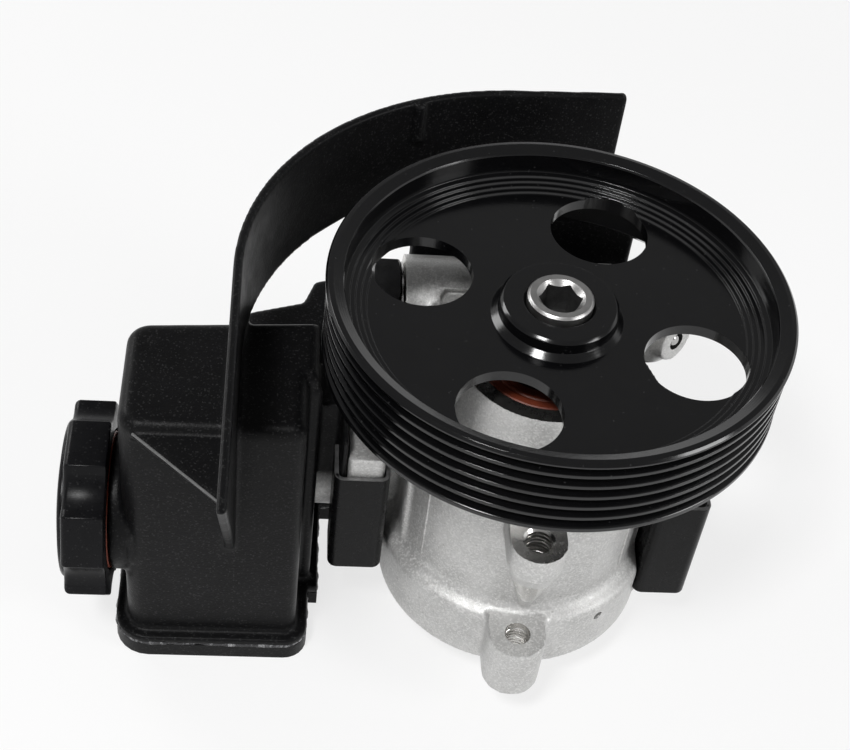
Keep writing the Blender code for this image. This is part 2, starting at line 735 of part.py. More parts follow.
def rotor_outline():
    """The rim with a slot for each vane, ending in a round pressure pocket."""
    points = []
    half = VANE_THICKNESS / 2 + VANE_GAP
    floor = ROTOR_R - VANE_LENGTH - SLOT_POCKET_R
    reach = math.asin(half / ROTOR_R)
    rim_r = math.sqrt(ROTOR_R**2 - half**2)
    spread = math.asin(half / SLOT_POCKET_R)
    pocket = arc(SLOT_POCKET_R, -spread, spread - math.tau, 4, (floor, 0))
    slot = [(rim_r, -half)] + pocket + [(rim_r, half)]
    for i in range(VANES):
        middle = vane_angle(i)
        turn = Matrix.Rotation(middle, 3, "Z")
        for x, y in slot:
            spot = turn @ Vector((x, y, 0))
            points.append((spot.x, spot.y))
        step = math.tau / VANES - 2 * reach
        for k in (1, 2):
            angle = middle + reach + step * k / 3
            points.append((ROTOR_R * math.cos(angle), ROTOR_R * math.sin(angle)))
    return points


def dowel_holes(clearance):
    return [
        circle(DOWEL_R + clearance, 12, (side * DOWEL_CIRCLE_R, 0)) for side in (1, -1)
    ]


def ports():
    """Kidney-shaped suction and pressure ports, one at each flank of the cam."""
    found = []
    for i in range(4):
        middle = math.pi / 4 + i * math.pi / 2
        outer = arc(PORT_OUTER_R, middle - PORT_HALF_ANGLE, middle + PORT_HALF_ANGLE, 4)
        inner = arc(PORT_INNER_R, middle + PORT_HALF_ANGLE, middle - PORT_HALF_ANGLE, 4)
        found.append(outer + inner)
    return found


def make_cartridge(materials):
    iron = materials["sintered"]
    plate(
        "thrust_plate",
        [circle(CARTRIDGE_R, STEPS_CARTRIDGE), circle(SHAFT_R + 2 * SEAT, 24)]
        + dowel_holes(SEAT) + ports(),
        THRUST_Z, THRUST_Z + THRUST_PLATE, iron,
    )
    lobes = [
        (cam_radius(a) * math.cos(a), cam_radius(a) * math.sin(a))
        for a in (math.tau * i / 64 for i in range(64))
    ]
    plate(
        "cam_ring",
        [circle(CARTRIDGE_R, STEPS_CARTRIDGE), lobes] + dowel_holes(SEAT),
        CAM_Z, CAM_Z + CAM_HEIGHT, materials["ground_steel"],
    )
    pressure = plate(
        "pressure_plate",
        [circle(CARTRIDGE_R, STEPS_CARTRIDGE)] + dowel_holes(SEAT) + ports(),
        PRESSURE_PLATE_Z, PRESSURE_PLATE_Z + PRESSURE_PLATE, iron,
    )
    recess = rod(
        "cut_plate_recess", SNAP_RING_R + 2 * SEAT, SHAFT_TAIL_Z - SEAT,
        CAM_Z, iron, steps=24,
    )
    carve(pressure, recess)
    for name, side in (("dowel_pin_a", 1), ("dowel_pin_b", -1)):
        rod(
            name, DOWEL_R, PRESSURE_PLATE_Z + SEAT, THRUST_Z + THRUST_PLATE - SEAT,
            materials["ground_steel"], steps=12,
            location=(side * DOWEL_CIRCLE_R, 0, 0),
        )
    turning = [
        plate(
            "rotor", [rotor_outline(), spline_outline(0.0001)],
            ROTOR_Z, ROTOR_Z + ROTOR_HEIGHT, materials["ground_steel"],
        )
    ]
    half = VANE_THICKNESS / 2
    blade = [
        (-VANE_LENGTH, -half), (-VANE_TIP, -half), (0, -half / 3),
        (0, half / 3), (-VANE_TIP, half), (-VANE_LENGTH, half),
    ]
    for i in range(VANES):
        angle = vane_angle(i)
        turning.append(
            plate(
                f"vane_{i + 1:02d}", [blade], 0, ROTOR_HEIGHT,
                materials["ground_steel"],
                location=(
                    ROTOR_R * math.cos(angle), ROTOR_R * math.sin(angle), ROTOR_Z,
                ),
                rotation=(0, 0, angle),
            )
        )
    return turning


def make_rear_closure(materials):
    cover_top = COVER_Z + END_COVER
    middle = COVER_Z + END_COVER / 2
    ring_half = ORING_WIRE_R + SEAT
    floor_r = BORE_R - 2 * ORING_WIRE_R - 2 * SEAT - 0.0001
    turned(
        "end_cover",
        [
            (0, COVER_Z + COVER_DISH), (COVER_DISH_R, COVER_Z + COVER_DISH),
            (COVER_DISH_R + COVER_DISH_EDGE, COVER_Z), (CARTRIDGE_R, COVER_Z),
            (CARTRIDGE_R, middle - ring_half),
            (floor_r, middle - ring_half), (floor_r, middle + ring_half),
            (CARTRIDGE_R, middle + ring_half), (CARTRIDGE_R, cover_top),
            (0, cover_top),
        ],
        materials["zinc_steel"], steps=STEPS_CARTRIDGE,
    )
    make_oring("end_cover_oring", BORE_R - SEAT - ORING_WIRE_R, materials, (0, 0, middle))
    spring_low = cover_top + SEAT + PLATE_SPRING_WIRE_R
    spring_high = PRESSURE_PLATE_Z - SEAT - PLATE_SPRING_WIRE_R
    coil(
        "pressure_spring", PLATE_SPRING_R, PLATE_SPRING_WIRE_R, spring_low,
        spring_high, PLATE_SPRING_TURNS, materials["spring_steel"],
    )
    coil(
        "end_retaining_ring", BORE_R, END_RING_WIRE_R, END_RING_Z, END_RING_Z,
        0.93, materials["spring_steel"], rotation=(0, 0, END_RING_HOLE_ANGLE + 0.5),
    )


def make_oring(name, radius, materials, location, rotation=(0, 0, 0), wire=ORING_WIRE_R):
    """A rubber ring of round section, its middle circle at the given radius."""
    section = [(radius + x, y) for x, y in circle(wire, 5)]
    return turned(
        name, section, materials["rubber"], steps=20, location=location, rotation=rotation,
    )


def make_seal_and_bush(materials):
    seal_top = HOUSING_LENGTH - SEAL_BELOW_FACE
    seal_low = seal_top - SEAL_WIDTH
    lip = SHAFT_R + RUNNING
    turned(
        "shaft_seal",
        [
            (SEAL_R, seal_low), (SEAL_R, seal_top),
            (SEAL_R - 0.0024, seal_top), (SEAL_R - 0.0028, seal_top - 0.0008),
            (SEAL_LIP_R, seal_top - 0.0008), (lip + 0.0006, seal_top - 0.0001),
            (lip, seal_top - 0.0008), (lip, seal_top - 0.0014), (lip + 0.0014, seal_low),
        ],
        materials["seal_red"], steps=STEPS_SHAFT,
    )
    bush_top = SEAL_POCKET_Z - SEAT
    turned(
        "shaft_bush",
        [
            (BUSH_R, bush_top - BUSH_LENGTH), (BUSH_R, bush_top),
            (SHAFT_R + RUNNING, bush_top), (SHAFT_R + RUNNING, bush_top - BUSH_LENGTH),
        ],
        materials["bronze"], steps=STEPS_SHAFT,
    )


# Housing
def make_housing(materials):
    cast = materials["cast_aluminium"]
    top = HOUSING_LENGTH
    shoulder = [
        (BARREL_R, SHOULDER_Z), (BARREL_R - 0.0009, SHOULDER_Z + 0.0015),
        (BARREL_R - 0.0028, SHOULDER_Z + 0.0026), (NOSE_ROOT_R + 0.0016, NOSE_ROOT_Z - 0.0014),
        (NOSE_ROOT_R - 0.0008, NOSE_ROOT_Z), (NOSE_R + 0.001, NOSE_ROOT_Z + 0.0045),
        (NOSE_R + 0.0003, NOSE_ROOT_Z + 0.0095),
    ]
    housing = turned(
        "pump_housing",
        [
            (0, 0), (RING_R - 0.0009, 0), (RING_R - 0.0002, 0.0007),
            (RING_R, RING_HEIGHT - 0.0012), (RING_R - 0.0005, RING_HEIGHT),
            (BARREL_R + 0.0018, RING_HEIGHT + 0.0014),
            (BARREL_R + 0.0004, RING_HEIGHT + 0.0028), (BARREL_R, RING_HEIGHT + 0.0044),
        ]
        + shoulder
        + [(NOSE_R, top - 0.0005), (NOSE_R - 0.0005, top), (0, top)],
        cast,
    )
    clear = CLIP_DEPTH + SEAT
    carve(housing, block(
        "cut_right_clip_room",
        (RIGHT_CLIP.x - CLIP_WIDTH / 2 - SEAT, 0.06),
        (RIGHT_CLIP.y - CUT_REACH, RIGHT_CLIP.y + clear),
        (RIGHT_CLIP.z - SEAT, RING_HEIGHT + 0.01), cast,
    ))
    for side, reach in (("left", -LEFT_PAD_X), ("right", RIGHT_PAD_X)):
        ends = sorted((reach, reach * 0.6))
        join(housing, block(
            f"add_{side}_pad", ends, (PAD_FRONT_Y, PAD_BACK_Y), (0.012, SHOULDER_Z - 0.001), cast,
        ))
    join(housing, make_front_ear(cast))
    join(housing, plate(
        "add_rear_ear", [stadium(EAR_X, EAR_Y, REAR_EAR_R, -BARREL_R * 0.93)],
        REAR_EAR_Z, REAR_EAR_Z + REAR_EAR_THICKNESS, cast,
    ))
    rails = (
        ("left", LEFT_RAIL_LEFT_X, LEFT_RAIL_RIGHT_X, LEFT_RAIL_FRONT_Y, LEFT_RAIL_Z),
        ("right", RIGHT_RAIL_LEFT_X, RIGHT_RAIL_RIGHT_X, RIGHT_RAIL_FRONT_Y, RIGHT_RAIL_Z),
    )
    for side, low_x, high_x, front_y, span in rails:
        outline = rounded([
            (low_x, front_y, RAIL_EDGE), (high_x, front_y, RAIL_EDGE),
            (high_x, RAIL_BACK_Y, 0), (low_x, RAIL_BACK_Y, 0),
        ])
        join(housing, plate(f"add_{side}_rail", [outline], span[0], span[1], cast))
        near, far = sorted((low_x, high_x), key=abs)
        ends = sorted((BARREL_R * 0.94 * math.copysign(1, near), (near + far) / 2))
        join(housing, block(
            f"add_{side}_rail_web", ends, (RAIL_WEB_Y, RAIL_BACK_Y - 0.0004),
            (span[0] + 0.0015, span[1] - 0.0015), cast,
        ))
    spigot_end = TANK_STEP_X - SPIGOT_ENTRY
    join(housing, rod(
        "add_spigot", SPIGOT_R, 0, (LEFT_RAIL_LEFT_X + LEFT_RAIL_RIGHT_X) / 2 - spigot_end,
        cast, steps=24, location=(spigot_end, SPIGOT_Y, SPIGOT_Z), rotation=TOWARDS_RIGHT,
    ))
    join(housing, *make_valve_boss(cast))
    carve(housing, *housing_bores(cast))
    return housing


def make_front_ear(cast):
    """The threaded boss tapers down the barrel to a point."""
    inner = -BARREL_R * 0.93
    top = EAR_FACE_Z
    low = top - EAR_STRAIGHT
    return loft(
        "add_front_ear",
        [
            at_height(stadium(EAR_X + 0.0024, EAR_FOOT_Y, EAR_FOOT_R, inner), EAR_FOOT_Z),
            at_height(stadium(EAR_X, EAR_Y, EAR_R - 0.0001, inner), low),
            at_height(stadium(EAR_X, EAR_Y, EAR_R, inner), top - 0.0003),
            at_height(stadium(EAR_X, EAR_Y, EAR_R - 0.0003, inner), top),
        ],
        cast,
    )


def make_valve_boss(cast):
    left = VALVE_LEFT_X
    right = VALVE_RIGHT_X - left
    fillet = VALVE_END_FILLET
    curve = [
        (VALVE_BOSS_R - fillet + fillet * math.cos(a), right - fillet + fillet * math.sin(a))
        for a in (math.pi / 2 * i / 4 for i in range(5))
    ]
    boss = turned(
        "add_valve_boss",
        [(0, 0), (VALVE_BOSS_R - 0.0006, 0), (VALVE_BOSS_R, 0.0006)] + curve + [(0, right)],
        cast, steps=24, location=(left, VALVE_Y, VALVE_Z), rotation=TOWARDS_RIGHT,
    )
    web = block(
        "add_valve_web", VALVE_WEB_X, (BARREL_R * 0.6, VALVE_Y),
        VALVE_WEB_Z, cast,
    )
    spot, direction = ball_spot()
    pad = rod(
        "add_ball_boss", BALL_BOSS_R, -VALVE_END_FILLET, BALL_BOSS_RISE, cast, steps=20,
        location=spot, rotation=direction.to_track_quat("Z", "Y").to_euler(),
    )
    return boss, web, pad


def ball_spot():
    """Where the drilled passage opens on the boss's rounded end, and its direction out."""
    direction = Vector((0.64, -0.76, 0.10)).normalized()
    fillet = VALVE_END_FILLET
    centre = Vector((VALVE_RIGHT_X - fillet, VALVE_Y, VALVE_Z))
    side = Vector((0, direction.y, direction.z)).normalized()
    centre += side * (VALVE_BOSS_R - fillet)
    return centre + direction * fillet, direction


def housing_bores(cast):
    top = HOUSING_LENGTH
    pocket = SEAL_POCKET_Z
    groove_low = END_RING_Z - END_RING_WIRE_R - SEAT
    groove_high = END_RING_Z + END_RING_WIRE_R + SEAT
    main = turned(
        "cut_main_bore",
        [
            (0, -0.001), (BORE_R + 0.0018, -0.001), (BORE_R, 0.0012), (BORE_R, groove_low),
            (BORE_R + GROOVE_FOR_RING, groove_low), (BORE_R + GROOVE_FOR_RING, groove_high),
            (BORE_R, groove_high), (BORE_R, BORE_DEPTH), (BUSH_R + SEAT, BORE_DEPTH),
            (BUSH_R + SEAT, pocket), (SEAL_R + SEAT, pocket), (SEAL_R + SEAT, top - 0.0003),
            (SEAL_R + SEAT + 0.001, top + 0.0005), (0, top + 0.0005),
        ],
        cast,
    )
    cuts = [main]
    cuts.append(turned(
        "cut_front_thread",
        [(0, -THREAD_DEPTH), (THREAD_R, -THREAD_DEPTH), (THREAD_R, -THREAD_CHAMFER),
         (THREAD_R + THREAD_CHAMFER + 0.0005, 0.0005), (0, 0.0005)],
        cast, steps=STEPS_SMALL, location=(EAR_X, EAR_Y, EAR_FACE_Z),
    ))
    cuts.append(rod(
        "cut_rear_thread", THREAD_R, -0.001, REAR_EAR_THICKNESS + 0.001, cast,
        location=(EAR_X, EAR_Y, REAR_EAR_Z),
    ))
    spigot_end = TANK_STEP_X - SPIGOT_ENTRY
    cuts.append(rod(
        "cut_spigot_bore", SPIGOT_BORE_R, -0.001, LEFT_RAIL_LEFT_X - spigot_end + 0.006,
        cast, location=(spigot_end, SPIGOT_Y, SPIGOT_Z), rotation=TOWARDS_RIGHT,
    ))
    cuts.append(rod(
        "cut_valve_bore", VALVE_BORE_R, -0.001, VALVE_BORE_RIGHT_X - VALVE_LEFT_X, cast,
        steps=24, location=(VALVE_LEFT_X, VALVE_Y, VALVE_Z), rotation=TOWARDS_RIGHT,
    ))
    spot, direction = ball_spot()
    cuts.append(rod(
        "cut_ball_hole", BALL_HOLE_R, -BALL_HOLE_DEPTH, 0.002, cast, steps=16,
        location=spot, rotation=direction.to_track_quat("Z", "Y").to_euler(),
    ))
    way = Vector((math.cos(END_RING_HOLE_ANGLE), math.sin(END_RING_HOLE_ANGLE), 0))
    cuts.append(rod(
        "cut_release_hole", END_RING_HOLE_R, 0, 0.012, cast, steps=12,
        location=way * (BORE_R - 0.001) + Vector((0, 0, END_RING_Z)),
        rotation=way.to_track_quat("Z", "Y").to_euler(),
    ))
    cuts.append(block(
        "cut_web_pocket", (VALVE_WEB_X[0] + 0.0025, VALVE_WEB_X[1] - 0.006),
        (BARREL_R + 0.001, VALVE_Y - 0.004),
        (VALVE_WEB_Z[1] - POCKET_DEPTH, VALVE_WEB_Z[1] + 0.002), cast,
    ))
    return cuts


# Flow valve and outlet
def make_valve(materials):
    steel = materials["ground_steel"]
    axis = {"rotation": TOWARDS_RIGHT}
    land = VALVE_BORE_R - 0.00015
    turned(
        "flow_valve_spool",
        [
            (0, 0), (land - 0.0006, 0), (land, 0.0006), (land, 0.010),
            (SPOOL_WAIST_R, 0.0105), (SPOOL_WAIST_R, SPOOL_LENGTH - 0.0135),
            (land, SPOOL_LENGTH - 0.013), (land, SPOOL_LENGTH), (0, SPOOL_LENGTH),
        ],
        steel, steps=24, location=(SPOOL_X, VALVE_Y, VALVE_Z), **axis,
    )
    spring_low = SPOOL_X + SPOOL_LENGTH + SEAT + VALVE_SPRING_WIRE_R
    spring_high = VALVE_BORE_RIGHT_X - SEAT - VALVE_SPRING_WIRE_R
    coil(
        "flow_valve_spring", VALVE_SPRING_R, VALVE_SPRING_WIRE_R, 0,
        spring_high - spring_low, VALVE_SPRING_TURNS, materials["spring_steel"],
        location=(spring_low, VALVE_Y, VALVE_Z), **axis,
    )
    spot, direction = ball_spot()
    bm = bmesh.new()
    bmesh.ops.create_icosphere(bm, subdivisions=2, radius=BALL_R)
    add("ball_plug", bm, materials["steel"], location=spot - direction * BALL_R * 0.6)


def make_outlet(materials):
    dark = materials["fitting_steel"]
    shank_r = VALVE_BORE_R - SEAT
    groove_low = -OUTLET_SHANK * 0.62
    groove_high = groove_low + 2 * ORING_WIRE_R + 2 * SEAT
    floor_r = shank_r - 2 * ORING_WIRE_R + 0.0001
    nose = HEX_LENGTH + OUTLET_NOSE_LENGTH
    place = {"location": (HEX_X, VALVE_Y, VALVE_Z), "rotation": TOWARDS_LEFT}
    fitting = turned(
        "outlet_fitting",
        [
            (OUTLET_BORE_R, -OUTLET_SHANK), (shank_r - 0.0005, -OUTLET_SHANK),
            (shank_r, -OUTLET_SHANK + 0.0005), (shank_r, groove_low),
            (floor_r, groove_low), (floor_r, groove_high), (shank_r, groove_high),
            (shank_r, HEX_LENGTH / 2), (OUTLET_NOSE_R, HEX_LENGTH / 2),
            (OUTLET_NOSE_R, nose - 0.0008), (OUTLET_NOSE_R - 0.0008, nose),
            (OUTLET_BORE_R + 0.0012, nose), (OUTLET_BORE_R, nose - 0.0012),
        ],
        dark, steps=20, **place,
    )
    corner = HEX_ACROSS_FLATS / 2 / math.cos(math.pi / 6)
    hexagon = plate(
        "add_outlet_hex",
        [circle(corner, 6, start=math.radians(15)), circle(OUTLET_BORE_R + 0.0015, 20)],
        0, HEX_LENGTH, dark, **place,
    )
    join(fitting, hexagon)
    turned(
        "outlet_washer",
        [
            (shank_r + SEAT, 0), (WASHER_R, 0), (WASHER_R, WASHER_THICKNESS),
            (shank_r + SEAT, WASHER_THICKNESS),
        ],
        materials["steel"], steps=24, location=(WASHER_X, VALVE_Y, VALVE_Z),
        rotation=TOWARDS_LEFT,
    )
    middle = (groove_low + groove_high) / 2
    make_oring(
        "outlet_oring", floor_r + 0.00012 + 0.00075, materials,
        (HEX_X - middle, VALVE_Y, VALVE_Z), TOWARDS_LEFT, wire=0.00075,
    )


# Reservoir
def tank_plan():
    """The main tank's outline: straight front, stepped right side and slanted back."""
    return [
        (TANK_LEFT_X, TANK_FRONT_Y, TANK_CORNER), (TANK_RIGHT_X, TANK_FRONT_Y, TANK_CORNER / 2),
        (TANK_RIGHT_X, TANK_STEP_Y, 0), (TANK_STEP_X, TANK_STEP_Y, 0),
        (TANK_STEP_X, TANK_BACK_RIGHT_Y, 0), (TANK_LEFT_X, TANK_BACK_LEFT_Y, TANK_CORNER),
    ]


def low_plan():
    """The foot's outline: the main tank with the low tank that wraps the housing's back."""
    start = math.pi - math.asin(SADDLE_FRONT_Y / SADDLE_INNER_R)
    inner = arc(SADDLE_INNER_R, start, math.pi - start, 14)
    outer = arc(SADDLE_OUTER_R, SADDLE_START, SADDLE_END, 12)
    corners = tank_plan()[:4]
    corners.append((TANK_STEP_X, SADDLE_FRONT_Y, 0))
    corners += [(x, y, 0) for x, y in inner]
    corners += [
        (SADDLE_RIGHT_X, SADDLE_FRONT_Y, 0), (SADDLE_RIGHT_X, SADDLE_FRONT_Y + SADDLE_ARM, 0),
    ]
    corners += [(x, y, 0) for x, y in outer]
    corners += [(LINK_LEFT_X + x, y, 0) for x, y in LINK_BACK]
    corners += [
        (LINK_LEFT_X, TANK_BACK_LEFT_Y + LINK_FRONT, 0),
        (TANK_LEFT_X, TANK_BACK_LEFT_Y, TANK_CORNER),
    ]
    return corners


def loft_plan():
    """The middle-height part between the main tank and the outlet."""
    front = TANK_BACK_LEFT_Y - LOFT_FRONT
    return [
        (LINK_LEFT_X, front, 0), (TANK_STEP_X - 0.0005, front, 0),
        (TANK_STEP_X, SADDLE_FRONT_Y, 0),
        (LINK_LEFT_X + LOFT_RIGHT, SADDLE_FRONT_Y + 0.001, 0),
    ] + [(LINK_LEFT_X + x, y, radius) for x, y, radius in LOFT_BACK]


def shield_outline():
    """Straight on the left, round the pulley, then straight to the free end."""
    cx, cy = SHIELD_CENTRE
    points = {}
    for key, radius in (("outer", SHIELD_R), ("inner", SHIELD_R - SHIELD_WALL)):
        bend = arc(radius, math.pi, SHIELD_SWEEP_END, 20, (cx, cy))
        last = Vector(bend[-1])
        along = Vector((math.sin(SHIELD_SWEEP_END), -math.cos(SHIELD_SWEEP_END)))
        end = last + along * (SHIELD_END_X - last.x) / along.x
        points[key] = [(cx - radius, SHIELD_FRONT_Y)] + bend + [(end.x, end.y)]
    return points["outer"] + points["inner"][::-1]


def make_shield(black):
    wall = plate("add_shield", [shield_outline()], SHIELD_FOOT_Z, SHIELD_TOP_Z, black)
    outer_x = SHIELD_CENTRE.x - SHIELD_R
    lean = (SHIELD_TOP_Z - SHIELD_TIP_Z) / (TANK_FRONT_Y - SHIELD_FRONT_Y)
    foot_y = SHIELD_FRONT_Y + (SHIELD_TOP_Z - SHIELD_FOOT_Z) / lean
    fin = plate(
        "add_fin",
        [[
            (foot_y - 0.001, SHIELD_FOOT_Z + 0.0015 - 0.0001),
            (TANK_FRONT_Y + 0.001, SHIELD_TIP_Z - 0.0015),
            (TANK_FRONT_Y + 0.001, SHIELD_FOOT_Z + 0.0014),
        ]],
        outer_x, outer_x + SHIELD_WALL, black,
    )
    turn_up(fin)
    trim = plate(
        "cut_fin_slant",
        [[
            (SHIELD_FRONT_Y - 0.02, SHIELD_TOP_Z + 0.02 * lean),
            (SHIELD_FRONT_Y - 0.05, SHIELD_TIP_Z - 0.03),
            (TANK_FRONT_Y + 0.03 / lean, SHIELD_TIP_Z - 0.03),
        ]],
        outer_x - 0.01, outer_x + 0.01, black,
    )
    turn_up(trim)
    gusset = plate(
        "add_gusset",
        [[
            (GUSSET_LEFT_X, TANK_FRONT_Y + 0.001), (GUSSET_LEFT_X, TANK_FRONT_Y),
            (outer_x + 0.0008, foot_y), (outer_x + 0.0008, TANK_FRONT_Y + 0.001),
        ]],
        TANK_TOP_Z - TANK_EDGE - GUSSET_THICKNESS, TANK_TOP_Z - TANK_EDGE, black,
    )
    rib_r = SHIELD_R - SHIELD_WALL
    cx, cy = SHIELD_CENTRE
    rib = block(
        "add_shield_rib", (rib_r - SHIELD_RIB_DEPTH, rib_r + SHIELD_WALL / 2),
        (-SHIELD_RIB_WIDTH / 2, SHIELD_RIB_WIDTH / 2),
        (SHIELD_TOP_Z - SHIELD_RIB_HEIGHT, SHIELD_TOP_Z - 0.0006), black,
        location=(cx, cy, 0), rotation=(0, 0, SHIELD_RIB_ANGLE),
    )
    corner = SHIELD_CORNER
    sweep = arc(corner, 0, math.pi / 2, 6, (SHIELD_END_X - corner, SHIELD_TOP_Z - corner))
    nip = plate(
        "cut_shield_corner",
        [sweep + [(SHIELD_END_X - corner, SHIELD_TOP_Z + 0.002),
                  (SHIELD_END_X + 0.002, SHIELD_TOP_Z + 0.002),
                  (SHIELD_END_X + 0.002, SHIELD_TOP_Z - corner)]],
        -0.09, -0.06, black, rotation=(math.pi / 2, 0, 0),
    )
    return wall, fin, gusset, rib, trim, nip


def turn_up(obj):
    """Stands a plate drawn in (y, z) and extruded along x upright."""
    obj.matrix_world = Matrix(((0, 0, 1, 0), (1, 0, 0, 0), (0, 1, 0, 0), (0, 0, 0, 1)))


def make_reservoir(materials):
    black = materials["moulded_black"]
    plan = tank_plan()
    edge = TANK_EDGE
    sections = [(0, TANK_FOOT_Z - SUNK), (0, TANK_TOP_Z - edge)]
    for i in (1, 2, 3):
        angle = math.pi / 2 * i / 3
        inset = edge * (1 - math.cos(angle))
        sections.append((-inset, TANK_TOP_Z - edge + edge * math.sin(angle)))
    tank = loft(
        "reservoir",
        [at_height(rounded(offset(plan, out)), z) for out, z in sections], black,
    )
    join(tank, plate(
        "add_low_tank", [rounded(low_plan())], FLANGE_REAR_Z + 0.001, SADDLE_TOP_Z, black,
    ))
    join(tank, plate(
        "add_mid_tank", [rounded(loft_plan())], TANK_FOOT_Z + 0.004, CLAMP_TOP_Z, black,
    ))
    join(tank, plate(
        "add_weld_flange", [rounded(offset(low_plan(), FLANGE_OUT))],
        FLANGE_REAR_Z, TANK_FOOT_Z, black,
    ))
    wall = TANK_WALL
    carve(tank, plate(
        "cut_main_cavity", [rounded(offset(plan, -wall))], FLANGE_REAR_Z - 0.005,
        TANK_TOP_Z - wall, black,
    ))
    carve(tank, plate(
        "cut_low_cavity", [rounded(offset(low_plan(), -wall))], FLANGE_REAR_Z - 0.004,
        SADDLE_TOP_Z - wall, black,
    ))
    carve(tank, plate(
        "cut_mid_cavity", [rounded(offset(loft_plan(), -wall))], FLANGE_REAR_Z - 0.003,
        CLAMP_TOP_Z - wall, black,
    ))
    make_reservoir_clamps(tank, black)
    shield, fin, gusset, rib, trim, nip = make_shield(black)
    join(shield, fin)
    carve(shield, trim, nip)
    join(tank, shield, gusset, rib)
    back = arc(SADDLE_OUTER_R, SADDLE_START, BACK_WALL_END, 8)
    inner = arc(
        SADDLE_OUTER_R - wall, BACK_WALL_END, SADDLE_START, 8,
    )
    join(tank, plate(
        "add_back_wall", [back + inner], SADDLE_TOP_Z - 0.001, BACK_WALL_TOP_Z, black,
    ))
    join(tank, make_neck(black))
    axis = {"location": (TANK_LEFT_X, CAP_Y, CAP_Z), "rotation": TOWARDS_LEFT}
    carve(tank, rod(
        "cut_neck_bore", NECK_BORE_R, -2 * wall, 0.02, black, steps=24, **axis,
    ))
    carve(tank, rod(
        "cut_spigot_hole", SPIGOT_R + 0.0015, -0.004, 0.006, black, steps=24,
        location=(TANK_STEP_X, SPIGOT_Y, SPIGOT_Z), rotation=TOWARDS_RIGHT,
    ))
    make_base(materials)
    return tank


def make_reservoir_clamps(tank, black):
    """The flange that the left clip grips, its bridge, and the arm in the right clip."""
    flange_x = LEFT_RAIL_LEFT_X - SEAT
    round_off = CLIP_BEND_R - CLIP_THICKNESS
    clamp_back = SPIGOT_Y - SPIGOT_R - SEAT
    join(tank, plate(
        "add_left_clamp",
        [rounded([
            (flange_x - CLAMP_FLANGE, LEFT_RAIL_FRONT_Y, round_off),
            (flange_x, LEFT_RAIL_FRONT_Y, 0), (flange_x, clamp_back, 0),
            (flange_x - CLAMP_FLANGE, clamp_back, 0),
        ])],
        CLAMP_FOOT_Z, CLAMP_TOP_Z, black,
    ))
    join(tank, block(
        "add_left_bridge", (TANK_STEP_X - SEAT, flange_x),
        (BRIDGE_FRONT_Y, RAIL_BACK_Y), (BRIDGE_FOOT_Z, CLAMP_TOP_Z + 0.001), black,
    ))
    join(tank, block(
        "add_bridge_root", (flange_x - CLAMP_FLANGE + 0.0002, flange_x - 0.0002),
        (clamp_back - 0.002, BRIDGE_FRONT_Y + 0.001),
        (BRIDGE_FOOT_Z + 0.0002, CLAMP_TOP_Z - 0.0002), black,
    ))
    arm_x = RIGHT_RAIL_RIGHT_X + SEAT
    join(tank, plate(
        "add_right_clamp",
        [rounded([
            (arm_x, RIGHT_RAIL_FRONT_Y, 0), (arm_x + CLAMP_FLANGE, RIGHT_RAIL_FRONT_Y, round_off),
            (arm_x + CLAMP_FLANGE, SADDLE_FRONT_Y + 0.004, 0),
            (arm_x, SADDLE_FRONT_Y + 0.004, 0),
        ])],
        RIGHT_CLIP.z + 0.002, SADDLE_TOP_Z - 0.0005, black,
    ))
    rib = rod(
        "add_side_rib", TANK_RIB_R, TANK_FOOT_Z + 0.001, TANK_TOP_Z - TANK_EDGE - 0.002,
        black, steps=10, location=(TANK_STEP_X - 0.0006, TANK_STEP_Y + 0.0006, 0),
    )
    join(tank, rib)


def make_neck(black):
    collar = -NECK_LENGTH
    return turned(
        "add_neck",
        [
            (NECK_BORE_R - 0.002, -TANK_WALL / 2), (NECK_R, -TANK_WALL / 2),
            (NECK_R, -collar), (NECK_THREAD_R, -collar),
            (NECK_THREAD_R, -collar + NECK_THREAD_LENGTH - 0.0005),
            (NECK_THREAD_R - 0.0005, -collar + NECK_THREAD_LENGTH),
            (NECK_BORE_R - 0.002, -collar + NECK_THREAD_LENGTH),
        ],
        black, steps=32, location=(TANK_LEFT_X, CAP_Y, CAP_Z), rotation=TOWARDS_LEFT,
    )


def make_base(materials):
    black = materials["moulded_black"]
    outline = rounded(offset(low_plan(), FLANGE_OUT))
    top = FLANGE_REAR_Z - SEAT
    base = plate("reservoir_base", [outline], BASE_REAR_Z, top, black)
    carve(base, plate(
        "cut_base_pan", [rounded(offset(low_plan(), -TANK_WALL))],
        BASE_REAR_Z + BASE_FLOOR, top + 0.001, black,
    ))
    return base


def make_suction_seal(materials):
    wire = 0.0005
    make_oring(
        "suction_oring", SPIGOT_R + 0.00016 + wire, materials,
        (TANK_STEP_X - TANK_WALL / 2, SPIGOT_Y, SPIGOT_Z), TOWARDS_LEFT, wire=wire,
    )


# Cap
def cap_outline(inset=0.0):
    """Six flat-faced lugs with a hollow scallop between each pair."""
    points = []
    pitch = math.tau / CAP_LUGS
    radius = CAP_R - inset
    first = CAP_SCALLOP_ANGLE + pitch / 2
    for i in range(CAP_LUGS):
        middle = first + i * pitch
        gap = pitch - 2 * CAP_LUG_HALF_ANGLE
        start = middle + CAP_LUG_HALF_ANGLE
        points.append((middle - CAP_LUG_HALF_ANGLE, radius))
        points.append((middle + CAP_LUG_HALF_ANGLE, radius))
        for share in (0.2, 0.5, 0.8):
            bow = 1 - (2 * share - 1) ** 2
            points.append((start + gap * share, radius - CAP_SCALLOP * bow - 0.0006))
    return [(r * math.sin(a), -r * math.cos(a)) for a, r in points]


